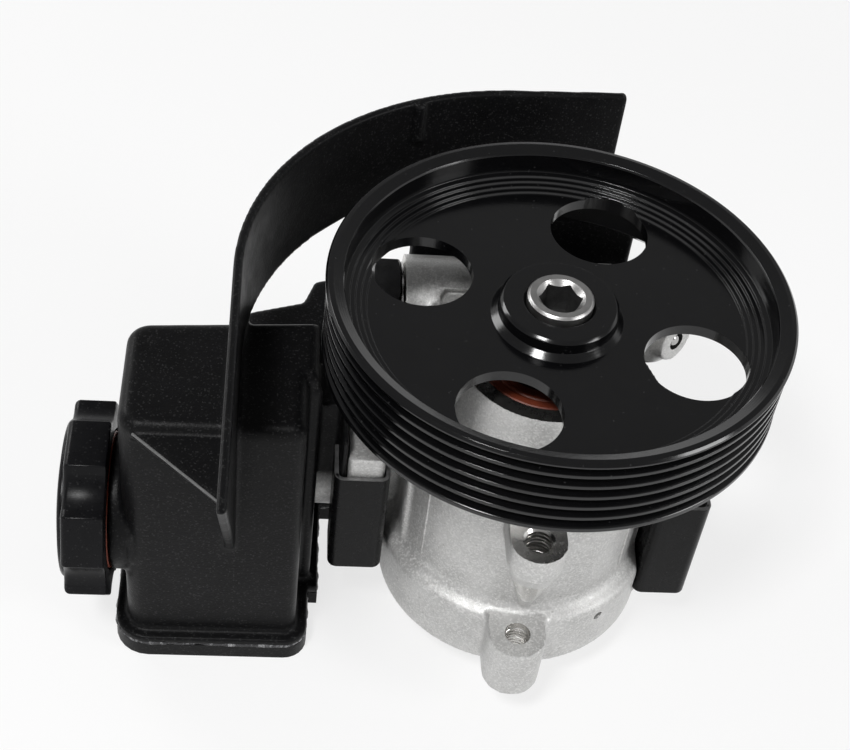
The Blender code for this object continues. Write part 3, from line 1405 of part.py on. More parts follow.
def make_cap(materials):
    """Local +Z points out of the reservoir, along -X."""
    black = materials["gloss_plastic"]
    place = {"location": (CAP_X, CAP_Y, CAP_Z), "rotation": TOWARDS_LEFT}
    cap = loft(
        "filler_cap",
        [
            at_height(cap_outline(0.0003), 0),
            at_height(cap_outline(), 0.0004),
            at_height(cap_outline(), CAP_HEIGHT - CAP_CHAMFER),
            at_height(cap_outline(CAP_CHAMFER), CAP_HEIGHT),
        ],
        black, **place,
    )
    top = CAP_HEIGHT + CAP_DOME
    dome = turned(
        "add_cap_disc",
        [
            (0, CAP_HEIGHT / 2), (CAP_DISC_R, CAP_HEIGHT / 2), (CAP_DISC_R, top - 0.0022),
            (CAP_DISC_R - 0.0006, top - 0.0015), (CAP_DISC_R * 0.72, top - 0.0006),
            (CAP_DISC_R * 0.38, top - 0.0001), (0, top),
        ],
        black, steps=24, **place,
    )
    join(cap, dome)
    depth = NECK_LENGTH + NECK_THREAD_LENGTH - (TANK_LEFT_X - CAP_X) + SEAT
    well = rod(
        "cut_cap_well", NECK_THREAD_R + CAP_THREAD_GAP, -0.001, depth, black,
        steps=32, **place,
    )
    carve(cap, well)
    turned(
        "cap_seal",
        [
            (NECK_THREAD_R + CAP_THREAD_GAP, 0), (CAP_SEAL_R, 0),
            (CAP_SEAL_R, CAP_SEAL_THICKNESS), (NECK_THREAD_R + CAP_THREAD_GAP, CAP_SEAL_THICKNESS),
        ],
        materials["seal_red"], steps=32, location=(CAP_SEAL_X, CAP_Y, CAP_Z),
        rotation=TOWARDS_LEFT,
    )
    return cap


# Clips
def clip_outline():
    """A channel open towards +Y: round outer bends, and legs of even thickness."""
    half = CLIP_WIDTH / 2
    inner = half - CLIP_THICKNESS
    bend = CLIP_BEND_R
    inner_bend = bend - CLIP_THICKNESS
    outer = rounded([
        (-half, CLIP_DEPTH, 0), (-half, 0, bend), (half, 0, bend), (half, CLIP_DEPTH, 0),
    ], steps=5)
    inside = rounded([
        (inner, CLIP_DEPTH, 0), (inner, CLIP_THICKNESS, inner_bend),
        (-inner, CLIP_THICKNESS, inner_bend), (-inner, CLIP_DEPTH, 0),
    ], steps=5)
    return outer + inside


def make_clips(materials):
    for name, spot in (("left_clip", LEFT_CLIP), ("right_clip", RIGHT_CLIP)):
        plate(name, [clip_outline()], 0, CLIP_HEIGHT, materials["clip_black"], location=spot)


def main():
    for obj in list(bpy.data.objects):
        bpy.data.objects.remove(obj)
    materials = {
        "gloss_black": finish("pulley black paint", (0.006, 0.006, 0.007), 0.16),
        "cast_aluminium": finish("cast aluminium", (0.50, 0.48, 0.45), 0.48, 0.85),
        "steel": finish("bright steel", (0.62, 0.61, 0.59), 0.24, 1.0),
        "ground_steel": finish("ground steel", (0.45, 0.45, 0.45), 0.20, 1.0),
        "spring_steel": finish("spring steel", (0.18, 0.18, 0.19), 0.35, 1.0),
        "sintered": finish("sintered iron", (0.20, 0.20, 0.20), 0.52, 0.9),
        "zinc_steel": finish("zinc plated steel", (0.55, 0.55, 0.53), 0.33, 1.0),
        "fitting_steel": finish("phosphated steel", (0.03, 0.03, 0.03), 0.4, 0.7),
        "bronze": finish("bronze", (0.50, 0.32, 0.14), 0.38, 1.0),
        "rubber": finish("black rubber", (0.012, 0.012, 0.012), 0.62),
        "seal_red": finish("brown seal rubber", (0.17, 0.035, 0.018), 0.5),
        "moulded_black": finish("moulded black plastic", (0.016, 0.016, 0.017), 0.5),
        "gloss_plastic": finish("cap plastic", (0.010, 0.010, 0.011), 0.32),
        "clip_black": finish("black clip steel", (0.014, 0.014, 0.015), 0.36, 0.4),
    }
    turning = [make_pulley(materials), make_shaft(materials)]
    turning += make_cartridge(materials)
    turning.append(bpy.data.objects["shaft_snap_ring"])
    axis = bpy.data.objects.new("turning_group", None)
    bpy.context.scene.collection.objects.link(axis)
    for obj in turning:
        obj.parent = axis
    make_rear_closure(materials)
    make_seal_and_bush(materials)
    make_housing(materials)
    make_valve(materials)
    make_outlet(materials)
    make_reservoir(materials)
    make_suction_seal(materials)
    make_cap(materials)
    make_clips(materials)


main()
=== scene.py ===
"""Power steering pump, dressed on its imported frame.

Every visible piece is made again with fine edges and its own finish, and the pieces inside
keep their solids and get finishes. All lengths are in metres, in the frame of the part: the
origin is where the shaft's axis meets the housing's rear face, +Z runs to the pulley, -Y is
the side of the threaded ears and -X the side of the filler cap.
"""

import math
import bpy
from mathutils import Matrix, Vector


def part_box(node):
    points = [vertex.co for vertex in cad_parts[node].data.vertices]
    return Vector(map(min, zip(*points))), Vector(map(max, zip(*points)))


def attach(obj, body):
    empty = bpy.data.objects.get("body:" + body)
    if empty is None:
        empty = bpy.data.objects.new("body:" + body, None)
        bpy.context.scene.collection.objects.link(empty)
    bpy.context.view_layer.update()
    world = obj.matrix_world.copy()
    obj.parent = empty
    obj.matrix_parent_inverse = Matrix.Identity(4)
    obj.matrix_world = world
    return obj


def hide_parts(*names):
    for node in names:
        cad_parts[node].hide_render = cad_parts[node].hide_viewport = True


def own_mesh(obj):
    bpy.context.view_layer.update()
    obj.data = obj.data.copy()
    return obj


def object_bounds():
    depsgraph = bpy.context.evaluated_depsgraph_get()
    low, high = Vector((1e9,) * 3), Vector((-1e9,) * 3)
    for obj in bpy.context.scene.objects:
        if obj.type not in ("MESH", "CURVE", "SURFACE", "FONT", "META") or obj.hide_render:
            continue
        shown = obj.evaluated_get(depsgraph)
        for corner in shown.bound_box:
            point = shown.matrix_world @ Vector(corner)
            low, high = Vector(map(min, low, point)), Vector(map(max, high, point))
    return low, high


bl_info = {
    "name": "Power steering pump",
    "version": (1, 0, 0),
    "blender": (4, 5, 0),
    "location": "View3D > Sidebar > Pump",
    "description": "Builds a belt driven power steering pump with its reservoir",
    "category": "Add Mesh",
}

import bmesh
import bpy
from mathutils import Matrix, Vector

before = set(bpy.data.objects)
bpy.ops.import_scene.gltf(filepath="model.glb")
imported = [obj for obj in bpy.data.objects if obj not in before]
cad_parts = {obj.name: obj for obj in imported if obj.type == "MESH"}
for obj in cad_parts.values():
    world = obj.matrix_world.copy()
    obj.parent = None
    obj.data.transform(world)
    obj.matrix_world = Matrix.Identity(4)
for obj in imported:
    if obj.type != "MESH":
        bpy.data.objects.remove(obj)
CAD_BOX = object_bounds()


def low(node, axis):
    """The lowest place of a CAD node along an axis, 0 to 2."""
    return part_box(node)[0][axis]


def high(node, axis):
    """The highest place of a CAD node along an axis, 0 to 2."""
    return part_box(node)[1][axis]


def middle(node):
    """The centre of a CAD node's box."""
    lowest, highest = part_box(node)
    return (lowest + highest) / 2


# Sizes and colours that a user would change
def length(name, description, default):
    return bpy.props.FloatProperty(
        name=name, description=description, default=default, unit="LENGTH", precision=5)


def colour(name, description, default):
    return bpy.props.FloatVectorProperty(
        name=name, description=description, default=default, subtype="COLOR", min=0, max=1)


class PumpPulleySizes(bpy.types.PropertyGroup):
    radius: length("Radius", "Outer radius of the pulley's flanges", high("pulley", 0))
    grooves: bpy.props.IntProperty(
        name="Grooves", description="Number of ribs that the belt has", default=6, min=1)
    pitch: length("Groove pitch", "Distance from one groove to the next", 0.00356)
    groove_depth: length("Groove depth", "Depth of a groove below its crest", 0.0029)
    web_drop: length("Web drop", "How far the web lies below the front rim", 0.0098)
    web: length("Web thickness", "Thickness of the web", 0.003)
    hub: length("Hub radius", "Radius of the hub's front face", 0.01476)
    hub_rise: length("Hub rise", "Height of the hub over the web", 0.0049)
    holes: bpy.props.IntProperty(
        name="Holes", description="Number of round holes in the web", default=4, min=3)
    hole: length("Hole radius", "Radius of each hole", 0.0128)
    hole_circle: length("Hole circle", "Radius of the circle on which the holes lie", 0.03576)
    hole_angle: bpy.props.FloatProperty(
        name="Hole angle", description="Angle of the first hole about the shaft",
        default=math.radians(-23.36), unit="ROTATION")
    steps: bpy.props.IntProperty(
        name="Steps", description="Sides of the turned rim", default=176, min=24)


class PumpHousingSizes(bpy.types.PropertyGroup):
    length: length("Length", "From the rear face to the front of the nose", high("pump_housing", 2))
    barrel: length("Barrel radius", "Radius of the housing's barrel", 0.033)
    ring: length("Ring radius", "Radius of the thick ring at the rear", 0.0374)
    nose: length("Nose radius", "Radius of the nose that holds the seal", 0.0228)
    bore: length("Bore radius", "Radius of the bore for the vane cartridge", 0.0295)
    valve_boss: length("Valve boss radius", "Radius of the cross boss of the flow valve", 0.014)
    thread: length("Thread radius", "Radius of the bore in the two ears", 0.0034)
    thread_pitch: length("Thread pitch", "Pitch of the thread in the ears", 0.00125)
    cast_edge: length(
        "Cast edge", "Fineness of the cast skin, about the radius of its edges", 0.0007)


class PumpReservoirSizes(bpy.types.PropertyGroup):
    wall: length("Wall", "Wall thickness of the moulding", 0.0024)
    top: length("Tank top", "Height of the main tank's top", 0.076)
    shield_radius: length("Shield radius", "Outer radius of the belt shield", 0.077)
    shield_wall: length("Shield wall", "Wall thickness of the belt shield", 0.0023)
    shield_top: length("Shield top", "Height of the belt shield's edge", high("reservoir", 2))
    flange: length("Weld flange", "How far the weld flange stands out", 0.004)
    flash: length("Weld flash", "Radius of the bead squeezed out of the weld", 0.0006)
    moulded_edge: length(
        "Moulded edge", "Fineness of the skin, about the radius of its edges", 0.0007)


class PumpCapSizes(bpy.types.PropertyGroup):
    radius: length("Radius", "Outer radius of the lugs", 0.0264)
    lugs: bpy.props.IntProperty(
        name="Lugs", description="Number of finger lugs", default=6, min=3)
    scallop: length("Scallop", "Depth of the hollow between two lugs", 0.0026)
    height: length("Height", "Height of the lugs", 0.0094)
    dome: length("Dome", "Rise of the disc over the lugs", 0.0029)
    thread_pitch: length("Thread pitch", "Lift of the cap in one turn", 0.004)


class PumpColours(bpy.types.PropertyGroup):
    paint: colour("Pulley paint", "Colour of the pulley's gloss paint", (0.0022, 0.0022, 0.0026))
    aluminium: colour("Cast aluminium", "Colour of the cast housing", (0.535, 0.533, 0.525))
    steel: colour("Steel", "Colour of the machined steel", (0.44, 0.435, 0.43))
    plastic: colour("Moulded plastic", "Colour of the reservoir", (0.0050, 0.0050, 0.0054))
    cap: colour("Cap plastic", "Colour of the filler cap", (0.0042, 0.0042, 0.0050))
    clip: colour("Clip steel", "Colour of the two clips", (0.0042, 0.0042, 0.0045))
    seal: colour("Seal rubber", "Colour of the lip seal and the cap's seal", (0.20, 0.040, 0.018))
    floor: colour("Floor", "Colour of the studio floor", (0.93, 0.93, 0.93))


# Places of the pieces, read from the frame where a node gives them
SEAT = 0.0003
PULLEY_REAR = low("pulley", 2)
PULLEY_FRONT = high("pulley", 2)
SHAFT_FRONT = high("drive_shaft", 2)
SHAFT_TAIL = low("drive_shaft", 2)
SHAFT_R = 0.00824
ROTOR_HIGH = high("rotor", 2)
SNAP_LOW = low("shaft_snap_ring", 2)
SNAP_HIGH = high("shaft_snap_ring", 2)
SEAL_LOW = low("shaft_seal", 2)
SEAL_HIGH = high("shaft_seal", 2)
SEAL_R = 0.0182
BUSH_R = 0.0103
VALVE_Y = 0.05
VALVE_Z = 0.05
VALVE_LEFT = high("outlet_washer", 0) + SEAT
VALVE_RIGHT = 0.047
BOSS_R = 0.014
BOSS_ROUND = 0.008
VALVE_BORE_R = 0.008
HEX_FACE = low("outlet_washer", 0) - SEAT
HEX_R = 0.012
HEX_LENGTH = 0.0072
SHANK_LENGTH = 0.0105
TANK_LEFT = -0.106
TANK_RIGHT = -0.060
TANK_STEP = -0.0572
TANK_FRONT = -0.025
TANK_FOOT = -0.006
FLANGE_REAR = high("reservoir_base", 2) + SEAT
SADDLE_TOP = 0.033
MID_TOP = 0.060
COLLAR = 0.0034
COLLAR_R = 0.0184
NECK_LENGTH = 0.007
NECK_R = 0.0156
NECK_X = TANK_LEFT - COLLAR
CAP_X = high("filler_cap", 0)
CAP_Y = middle("cap_seal").y
CAP_Z = middle("cap_seal").z
GUSSET_BACK = 0.009
GUSSET_LEFT = -0.1023
SPIGOT_Y = 0.0056
SPIGOT_Z = 0.025
SPIGOT_END = TANK_STEP - 0.003
EAR_X = -0.0025
EAR_Y = -0.0413
EAR_FACE = 0.058
REAR_EAR_Z = 0.002
LEFT_RAIL = (low("left_clip", 0) + 0.0033, low("left_clip", 0) + 0.0131)
RIGHT_RAIL = (high("right_clip", 0) - 0.0131, high("right_clip", 0) - 0.0033)
SADDLE_R = 0.076
SADDLE_INNER_R = 0.0395
SADDLE_START = math.atan2(0.068, 0.034)
SADDLE_END = math.radians(142)
BACK_WALL_END = math.radians(114)
BACK_WALL_TOP = 0.0665
SHIELD_X = -0.0024
SHIELD_Y = -0.001
SHIELD_FRONT = -0.077
SHIELD_END = 0.025
SHIELD_TURN = math.radians(93.5)
SHIELD_FOOT = 0.0755
FIN_TIP = 0.030
RIB_ANGLE = math.radians(114)
RELEASE_ANGLE = math.radians(-56.1)
LEFTWARDS = Matrix.Rotation(-math.pi / 2, 4, "Y")
RIGHTWARDS = Matrix.Rotation(math.pi / 2, 4, "Y")
BALL_AXIS = Vector((0.64, -0.76, 0.10)).normalized()

# Camera fitted to the photograph, and lamps as name, place, width and power in watts
CAMERA_PLACE = Vector((-0.068947, -0.285232, 0.362127))
CAMERA_RIGHT = Vector((0.994684, -0.035808, 0.096551))
CAMERA_DOWN = Vector((0.041955, -0.715343, -0.697513))
CAMERA_LENS = 68.05
LIT_POINT = Vector((-0.03, 0.0, 0.05))
LAMPS = (
    ("key_light", (-0.36, -0.50, 1.00), 0.20, 7.2),
    ("fill_light", (0.80, -0.40, 0.55), 0.32, 3.2),
    ("back_light", (-0.80, 0.55, 0.60), 0.34, 2.6),
)
SKY_STRENGTH = 0.27


# Mesh helpers
def link(name, mesh, material=None):
    made = bpy.data.objects.new(name, mesh)
    bpy.context.scene.collection.objects.link(made)
    if material:
        mesh.materials.clear()
        mesh.materials.append(material)
    return made


def tidy(mesh, merge=1e-6):
    """Merges doubles, drops faces without area and turns every face outwards."""
    bm = bmesh.new()
    bm.from_mesh(mesh)
    bmesh.ops.remove_doubles(bm, verts=bm.verts, dist=merge)
    bmesh.ops.dissolve_degenerate(bm, edges=bm.edges, dist=merge)
    loose = [edge for edge in bm.edges if not edge.link_faces]
    bmesh.ops.delete(bm, geom=loose, context="EDGES")
    stray = [vert for vert in bm.verts if not vert.link_faces]
    bmesh.ops.delete(bm, geom=stray, context="VERTS")
    bmesh.ops.recalc_face_normals(bm, faces=bm.faces)
    bm.to_mesh(mesh)
    bm.free()


def smooth(obj, angle=35):
    obj.data.shade_smooth()
    obj.data.set_sharp_from_angle(angle=math.radians(angle))
    return obj


def settle(obj):
    """Makes the result of the modifiers the object's own mesh."""
    graph = bpy.context.evaluated_depsgraph_get()
    mesh = bpy.data.meshes.new_from_object(obj.evaluated_get(graph))
    obj.modifiers.clear()
    obj.data = mesh
    mesh.name = obj.name
    return obj


def shape(obj, operation, *others):
    """Joins, cuts or keeps what is common with other closed bodies, and removes them."""
    for other in others:
        step = obj.modifiers.new(other.name, "BOOLEAN")
        step.operation = operation
        step.solver = "MANIFOLD"
        step.object = other
    settle(obj)
    for other in others:
        bpy.data.objects.remove(other)
    return obj


def join(obj, *others):
    return shape(obj, "UNION", *others)


def cut(obj, *others):
    return shape(obj, "DIFFERENCE", *others)


def rounded_edges(obj, width, segments=2, angle=40):
    bevel = obj.modifiers.new("edges", "BEVEL")
    bevel.width = width
    bevel.segments = segments
    bevel.limit_method = "ANGLE"
    bevel.angle_limit = math.radians(angle)
    bevel.harden_normals = False
    smooth(settle(obj))
    weighted = obj.modifiers.new("weighted", "WEIGHTED_NORMAL")
    weighted.keep_sharp = True
    return settle(obj)


def skinned(obj, edge, keep, soften=4):
    """Gives a joined body one skin with small fillets and rounded edges, as a casting has."""
    skin = obj.modifiers.new("skin", "REMESH")
    skin.mode = "VOXEL"
    skin.voxel_size = edge
    relax = obj.modifiers.new("relax", "SMOOTH")
    relax.factor = 0.5
    relax.iterations = soften
    thin = obj.modifiers.new("thin", "DECIMATE")
    thin.ratio = keep
    settle(obj)
    tidy(obj.data, 1e-5)
    return smooth(obj, 60)


def circle(radius, steps, centre=(0, 0), start=0.0):
    return [(centre[0] + radius * math.cos(start + math.tau * i / steps),
             centre[1] + radius * math.sin(start + math.tau * i / steps)) for i in range(steps)]


def arc(radius, start, end, steps, centre=(0, 0)):
    return [(centre[0] + radius * math.cos(start + (end - start) * i / steps),
             centre[1] + radius * math.sin(start + (end - start) * i / steps))
            for i in range(steps + 1)]


def eased(points, radius, steps=3):
    """Rounds each corner of a closed outline as far as its neighbours leave room."""
    made = []
    for i, point in enumerate(points):
        here = Vector(point[:2])
        back = Vector(points[i - 1][:2]) - here
        ahead = Vector(points[(i + 1) % len(points)][:2]) - here
        wish = point[2] if len(point) > 2 else radius
        if min(back.length, ahead.length) < 1e-7 or (len(point) == 2 and abs(here.x) < 1e-7):
            made.append((here.x, here.y))
            continue
        half = back.angle(ahead) / 2
        room = 0.46 * min(back.length, ahead.length) * math.tan(half)
        size = min(wish, room)
        if half > 1.52 or size < 1e-6:
            made.append((here.x, here.y))
            continue
        back.normalize()
        ahead.normalize()
        centre = here + (back + ahead).normalized() * size / math.sin(half)
        first = here + back * size / math.tan(half) - centre
        last = here + ahead * size / math.tan(half) - centre
        sweep = first.angle_signed(last)
        for k in range(steps + 1):
            spot = centre + Matrix.Rotation(-sweep * k / steps, 2) @ first
            made.append((spot.x, spot.y))
    return made


def offset(corners, out):
    """Moves each side of a counter-clockwise outline of (x, y, radius) corners outwards."""
    moved = []
    for i, (x, y, radius) in enumerate(corners):
        here = Vector((x, y))
        before = (here - Vector(corners[i - 1][:2])).normalized()
        after = (Vector(corners[(i + 1) % len(corners)][:2]) - here).normalized()
        normal = Vector((before.y, -before.x))
        mitre = (normal + Vector((after.y, -after.x))).normalized()
        spot = here + mitre * out / max(mitre.dot(normal), 0.3)
        grow = out if before.cross(after) > 0 else -out
        moved.append((spot.x, spot.y, max(radius + grow, 0.0003) if radius > 0 else 0))
    return moved


def plate(name, outlines, bottom, top, place=None):
    """Extrudes a flat outline. Outlines after the first are holes."""
    bm = bmesh.new()
    edges = []
    for outline in outlines:
        ring = [bm.verts.new((point[0], point[1], bottom)) for point in outline]
        for i, vert in enumerate(ring):
            edges.append(bm.edges.new((vert, ring[(i + 1) % len(ring)])))
    bmesh.ops.triangle_fill(bm, use_beauty=True, use_dissolve=False, edges=edges)
    made = bmesh.ops.extrude_face_region(bm, geom=bm.faces[:])
    lifted = [item for item in made["geom"] if isinstance(item, bmesh.types.BMVert)]
    bmesh.ops.translate(bm, verts=lifted, vec=(0, 0, top - bottom))
    return placed(name, bm, place)


def loft(name, sections, place=None):
    """Skins outlines of (points, height) with equal counts, and closes both ends."""
    bm = bmesh.new()
    rings = [[bm.verts.new((x, y, z)) for x, y in outline] for outline, z in sections]
    for lower, upper in zip(rings, rings[1:]):
        for i in range(len(lower)):
            j = (i + 1) % len(lower)
            bm.faces.new((lower[i], lower[j], upper[j], upper[i]))
    ends = [bm.faces.new(list(reversed(rings[0]))), bm.faces.new(rings[-1])]
    bmesh.ops.triangulate(bm, faces=ends)
    return placed(name, bm, place)


def placed(name, bm, place):
    """Makes the object with its place in its mesh, and faces pointing outwards."""
    bm.transform(place or Matrix())
    bmesh.ops.remove_doubles(bm, verts=bm.verts, dist=1e-7)
    bmesh.ops.recalc_face_normals(bm, faces=bm.faces)
    mesh = bpy.data.meshes.new(name)
    bm.to_mesh(mesh)
    bm.free()
    return smooth(link(name, mesh))


def block(name, x, y, z, place=None):
    corners = [(x[0], y[0]), (x[1], y[0]), (x[1], y[1]), (x[0], y[1])]
    return plate(name, [corners], z[0], z[1], place)


# Geometry Nodes trees
def new_tree(name, inputs):
    """A tree with geometry in and out and the named inputs, each (name, type, default)."""
    tree = bpy.data.node_groups.new(name, "GeometryNodeTree")
    face = tree.interface
    face.new_socket("Geometry", in_out="INPUT", socket_type="NodeSocketGeometry")
    for label, kind, value in inputs:
        socket = face.new_socket(label, in_out="INPUT", socket_type="NodeSocket" + kind)
        if value is not None:
            socket.default_value = value
    face.new_socket("Geometry", in_out="OUTPUT", socket_type="NodeSocketGeometry")
    return tree, tree.nodes.new("NodeGroupInput"), tree.nodes.new("NodeGroupOutput")


def put(tree, kind, links=None, **settings):
    """Adds a node. Links give each input either a socket or a plain value."""
    made = tree.nodes.new(kind)
    for key, value in settings.items():
        setattr(made, key, value)
    for key, value in (links or {}).items():
        socket = made.inputs[key]
        if isinstance(value, bpy.types.NodeSocket):
            tree.links.new(value, socket)
        else:
            socket.default_value = value
    return made


def sum_of(tree, operation, first, second):
    return put(tree, "ShaderNodeMath", {0: first, 1: second}, operation=operation).outputs[0]


def close_tree(tree, given, taken, geometry):
    """Ends a tree in Realize Instances and Set Material."""
    real = put(tree, "GeometryNodeRealizeInstances", {"Geometry": geometry})
    dressed = put(tree, "GeometryNodeSetMaterial", {
        "Geometry": real.outputs[0], "Material": given.outputs["Material"]})
    tree.links.new(dressed.outputs[0], taken.inputs[0])
    return tree


def turning_tree():
    """Turns a line of points in the XZ plane round Z, by the angle between two sides."""
    tree, given, taken = new_tree("turned profile", [
        ("Steps", "Int", 96), ("Material", "Material", None)])
    profile = given.outputs["Geometry"]
    steps = given.outputs["Steps"]
    count = put(tree, "GeometryNodeAttributeDomainSize", {"Geometry": profile}).outputs[0]
    rows = sum_of(tree, "ADD", steps, 1.0)
    grid = put(tree, "GeometryNodeMeshGrid", {"Vertices X": count, "Vertices Y": rows})
    index = tree.nodes.new("GeometryNodeInputIndex").outputs[0]
    row = sum_of(tree, "FLOOR", sum_of(tree, "DIVIDE", sum_of(tree, "ADD", index, 0.5), rows), 0)
    side = sum_of(tree, "SUBTRACT", index, sum_of(tree, "MULTIPLY", row, rows))
    angle = sum_of(tree, "DIVIDE", sum_of(tree, "MULTIPLY", side, math.tau), steps)
    place = tree.nodes.new("GeometryNodeInputPosition").outputs[0]
    found = put(tree, "GeometryNodeSampleIndex", data_type="FLOAT_VECTOR")
    tree.links.new(profile, found.inputs["Geometry"])
    tree.links.new(place, [s for s in found.inputs if s.name == "Value" and s.enabled][0])
    tree.links.new(row, found.inputs["Index"])
    turned_to = put(tree, "ShaderNodeVectorRotate", {
        "Vector": found.outputs[0], "Axis": (0, 0, 1), "Angle": angle})
    moved = put(tree, "GeometryNodeSetPosition", {
        "Geometry": grid.outputs[0], "Position": turned_to.outputs[0]})
    joined = put(tree, "GeometryNodeMergeByDistance", {
        "Geometry": moved.outputs[0], "Distance": 1e-6})
    return close_tree(tree, given, taken, joined.outputs[0])


def drilling_tree():
    """Cuts round holes, evenly spaced on a circle, through the given body."""
    tree, given, taken = new_tree("holes on a circle", [
        ("Count", "Int", 4), ("Hole Radius", "Float", 0.01), ("Circle Radius", "Float", 0.03),
        ("First Angle", "Float", 0.0), ("Height", "Float", 0.0), ("Depth", "Float", 0.02),
        ("Material", "Material", None)])
    ring = put(tree, "GeometryNodeMeshCircle", {
        "Vertices": given.outputs["Count"], "Radius": given.outputs["Circle Radius"]})
    turn = put(tree, "ShaderNodeCombineXYZ", {2: given.outputs["First Angle"]})
    lift = put(tree, "ShaderNodeCombineXYZ", {2: given.outputs["Height"]})
    spun = put(tree, "GeometryNodeTransform", {
        "Geometry": ring.outputs[0], "Translation": lift.outputs[0], "Rotation": turn.outputs[0]})
    drill = put(tree, "GeometryNodeMeshCylinder", {
        "Vertices": 72, "Radius": given.outputs["Hole Radius"], "Depth": given.outputs["Depth"]})
    drills = put(tree, "GeometryNodeInstanceOnPoints", {
        "Points": spun.outputs[0], "Instance": drill.outputs[0]})
    body = tree.nodes.new("GeometryNodeMeshBoolean")
    body.operation = "DIFFERENCE"
    body.solver = "MANIFOLD"
    tree.links.new(given.outputs["Geometry"], body.inputs["Mesh 1"])
    cutter = put(tree, "GeometryNodeRealizeInstances", {"Geometry": drills.outputs[0]})
    tree.links.new(cutter.outputs[0], body.inputs["Mesh 2"])
    return close_tree(tree, given, taken, body.outputs[0])


def winding_tree():
    """A wire wound round Z: a thread's ridge, a spring or an open ring."""
    tree, given, taken = new_tree("wound wire", [
        ("Radius", "Float", 0.004), ("Wire", "Float", 0.0003), ("Turns", "Float", 4.0),
        ("Rise", "Float", 0.005), ("Steps", "Int", 48), ("Sides", "Int", 8),
        ("Material", "Material", None)])
    path = put(tree, "GeometryNodeCurveSpiral", {
        "Resolution": given.outputs["Steps"], "Rotations": given.outputs["Turns"],
        "Start Radius": given.outputs["Radius"], "End Radius": given.outputs["Radius"],
        "Height": given.outputs["Rise"]})
    section = put(tree, "GeometryNodeCurvePrimitiveCircle", {
        "Resolution": given.outputs["Sides"], "Radius": given.outputs["Wire"]})
    wire = put(tree, "GeometryNodeCurveToMesh", {
        "Curve": path.outputs[0], "Profile Curve": section.outputs[0], "Fill Caps": True})
    return close_tree(tree, given, taken, wire.outputs[0])


def bead_tree():
    """A bead of uneven thickness along a closed line, as weld flash and mould seams are."""
    tree, given, taken = new_tree("uneven bead", [
        ("Thickness", "Float", 0.0005), ("Spacing", "Float", 0.0012), ("Waver", "Float", 0.4),
        ("Lump Size", "Float", 0.004), ("Sides", "Int", 8), ("Seed", "Int", 3),
        ("Material", "Material", None)])
    line = put(tree, "GeometryNodeMeshToCurve", {"Mesh": given.outputs["Geometry"]})
    path = tree.nodes.new("GeometryNodeResampleCurve")
    path.mode = "LENGTH"
    tree.links.new(line.outputs[0], path.inputs["Curve"])
    tree.links.new(given.outputs["Spacing"], path.inputs["Length"])
    place = tree.nodes.new("GeometryNodeInputPosition").outputs[0]
    size = sum_of(tree, "DIVIDE", 1.0, given.outputs["Lump Size"])
    lumps = put(tree, "ShaderNodeTexNoise", {"Vector": place, "Scale": size, "W":
                given.outputs["Seed"]}, noise_dimensions="4D")
    swing = sum_of(tree, "MULTIPLY", sum_of(tree, "SUBTRACT", lumps.outputs[0], 0.5),
                   given.outputs["Waver"])
    scale = sum_of(tree, "ADD", sum_of(tree, "MULTIPLY", swing, 2.0), 1.0)
    section = put(tree, "GeometryNodeCurvePrimitiveCircle", {
        "Resolution": given.outputs["Sides"], "Radius": given.outputs["Thickness"]})
    bead = put(tree, "GeometryNodeCurveToMesh", {
        "Curve": path.outputs[0], "Profile Curve": section.outputs[0], "Scale": scale,
        "Fill Caps": True})
    return close_tree(tree, given, taken, bead.outputs[0])


TREES = {}


def tree_named(maker):
    """Each tree is made once and shared."""
    if maker.__name__ not in TREES:
        TREES[maker.__name__] = maker()
    return TREES[maker.__name__]


def grown(name, base, maker, material, place=None, **values):
    """Runs a tree on a base object and keeps the result as a plain mesh."""
    tree = tree_named(maker)
    run = base.modifiers.new("tree", "NODES")
    run.node_group = tree
    values["Material"] = material
    for item in tree.interface.items_tree:
        key = item.name.replace(" ", "_")
        wanted = values.get(item.name, values.get(key))
        if item.in_out == "INPUT" and item.socket_type != "NodeSocketGeometry" \
                and wanted is not None:
            run[item.identifier] = wanted
    graph = bpy.context.evaluated_depsgraph_get()
    mesh = bpy.data.meshes.new_from_object(base.evaluated_get(graph))
    mesh.name = name
    bpy.data.objects.remove(base)
    tidy(mesh)
    mesh.transform(place or Matrix())
    if not mesh.polygons:
        raise RuntimeError(f"{name}: its tree made no faces")
    return smooth(link(name, mesh, material))


def line_object(name, points, closed):
    """A line of points and edges, which a tree reads."""
    mesh = bpy.data.meshes.new(name)
    edges = [(i, i + 1) for i in range(len(points) - 1)]
    if closed:
        edges.append((len(points) - 1, 0))
    mesh.from_pydata(points, edges, [])
    return link(name + "_line", mesh)


def turned(name, profile, material=None, ease=0.0002, steps=96, place=None, rounds=3):
    """A solid turned from a closed profile of (radius, height) points."""
    outline = eased(profile, ease, rounds) if ease else list(profile)
    points = [(radius, 0, height) for radius, height in outline]
    if abs(points[0][0]) > 1e-7 or abs(points[-1][0]) > 1e-7:
        points.append(points[0])
    base = line_object(name, points, False)
    return grown(name, base, turning_tree, material, place, Steps=steps)


def rod(name, radius, bottom, top, place=None, steps=64, material=None):
    profile = [(0, bottom), (radius, bottom), (radius, top), (0, top)]
    return turned(name, profile, material, 0, steps, place)


def wound(name, material, place=None, **sizes):
    mesh = bpy.data.meshes.new(name)
    return grown(name, link(name + "_base", mesh), winding_tree, material, place, **sizes)


def at(x, y, z, turn=None):
    return Matrix.Translation((x, y, z)) @ (turn or Matrix())


# Finishes
def coordinates(tree, location=(0, 0, 0), rotation=(0, 0, 0), scale=(1, 1, 1)):
    spot = tree.nodes.new("ShaderNodeTexCoord").outputs["Object"]
    return put(tree, "ShaderNodeMapping", {
        "Vector": spot, "Location": location, "Rotation": rotation, "Scale": scale}).outputs[0]


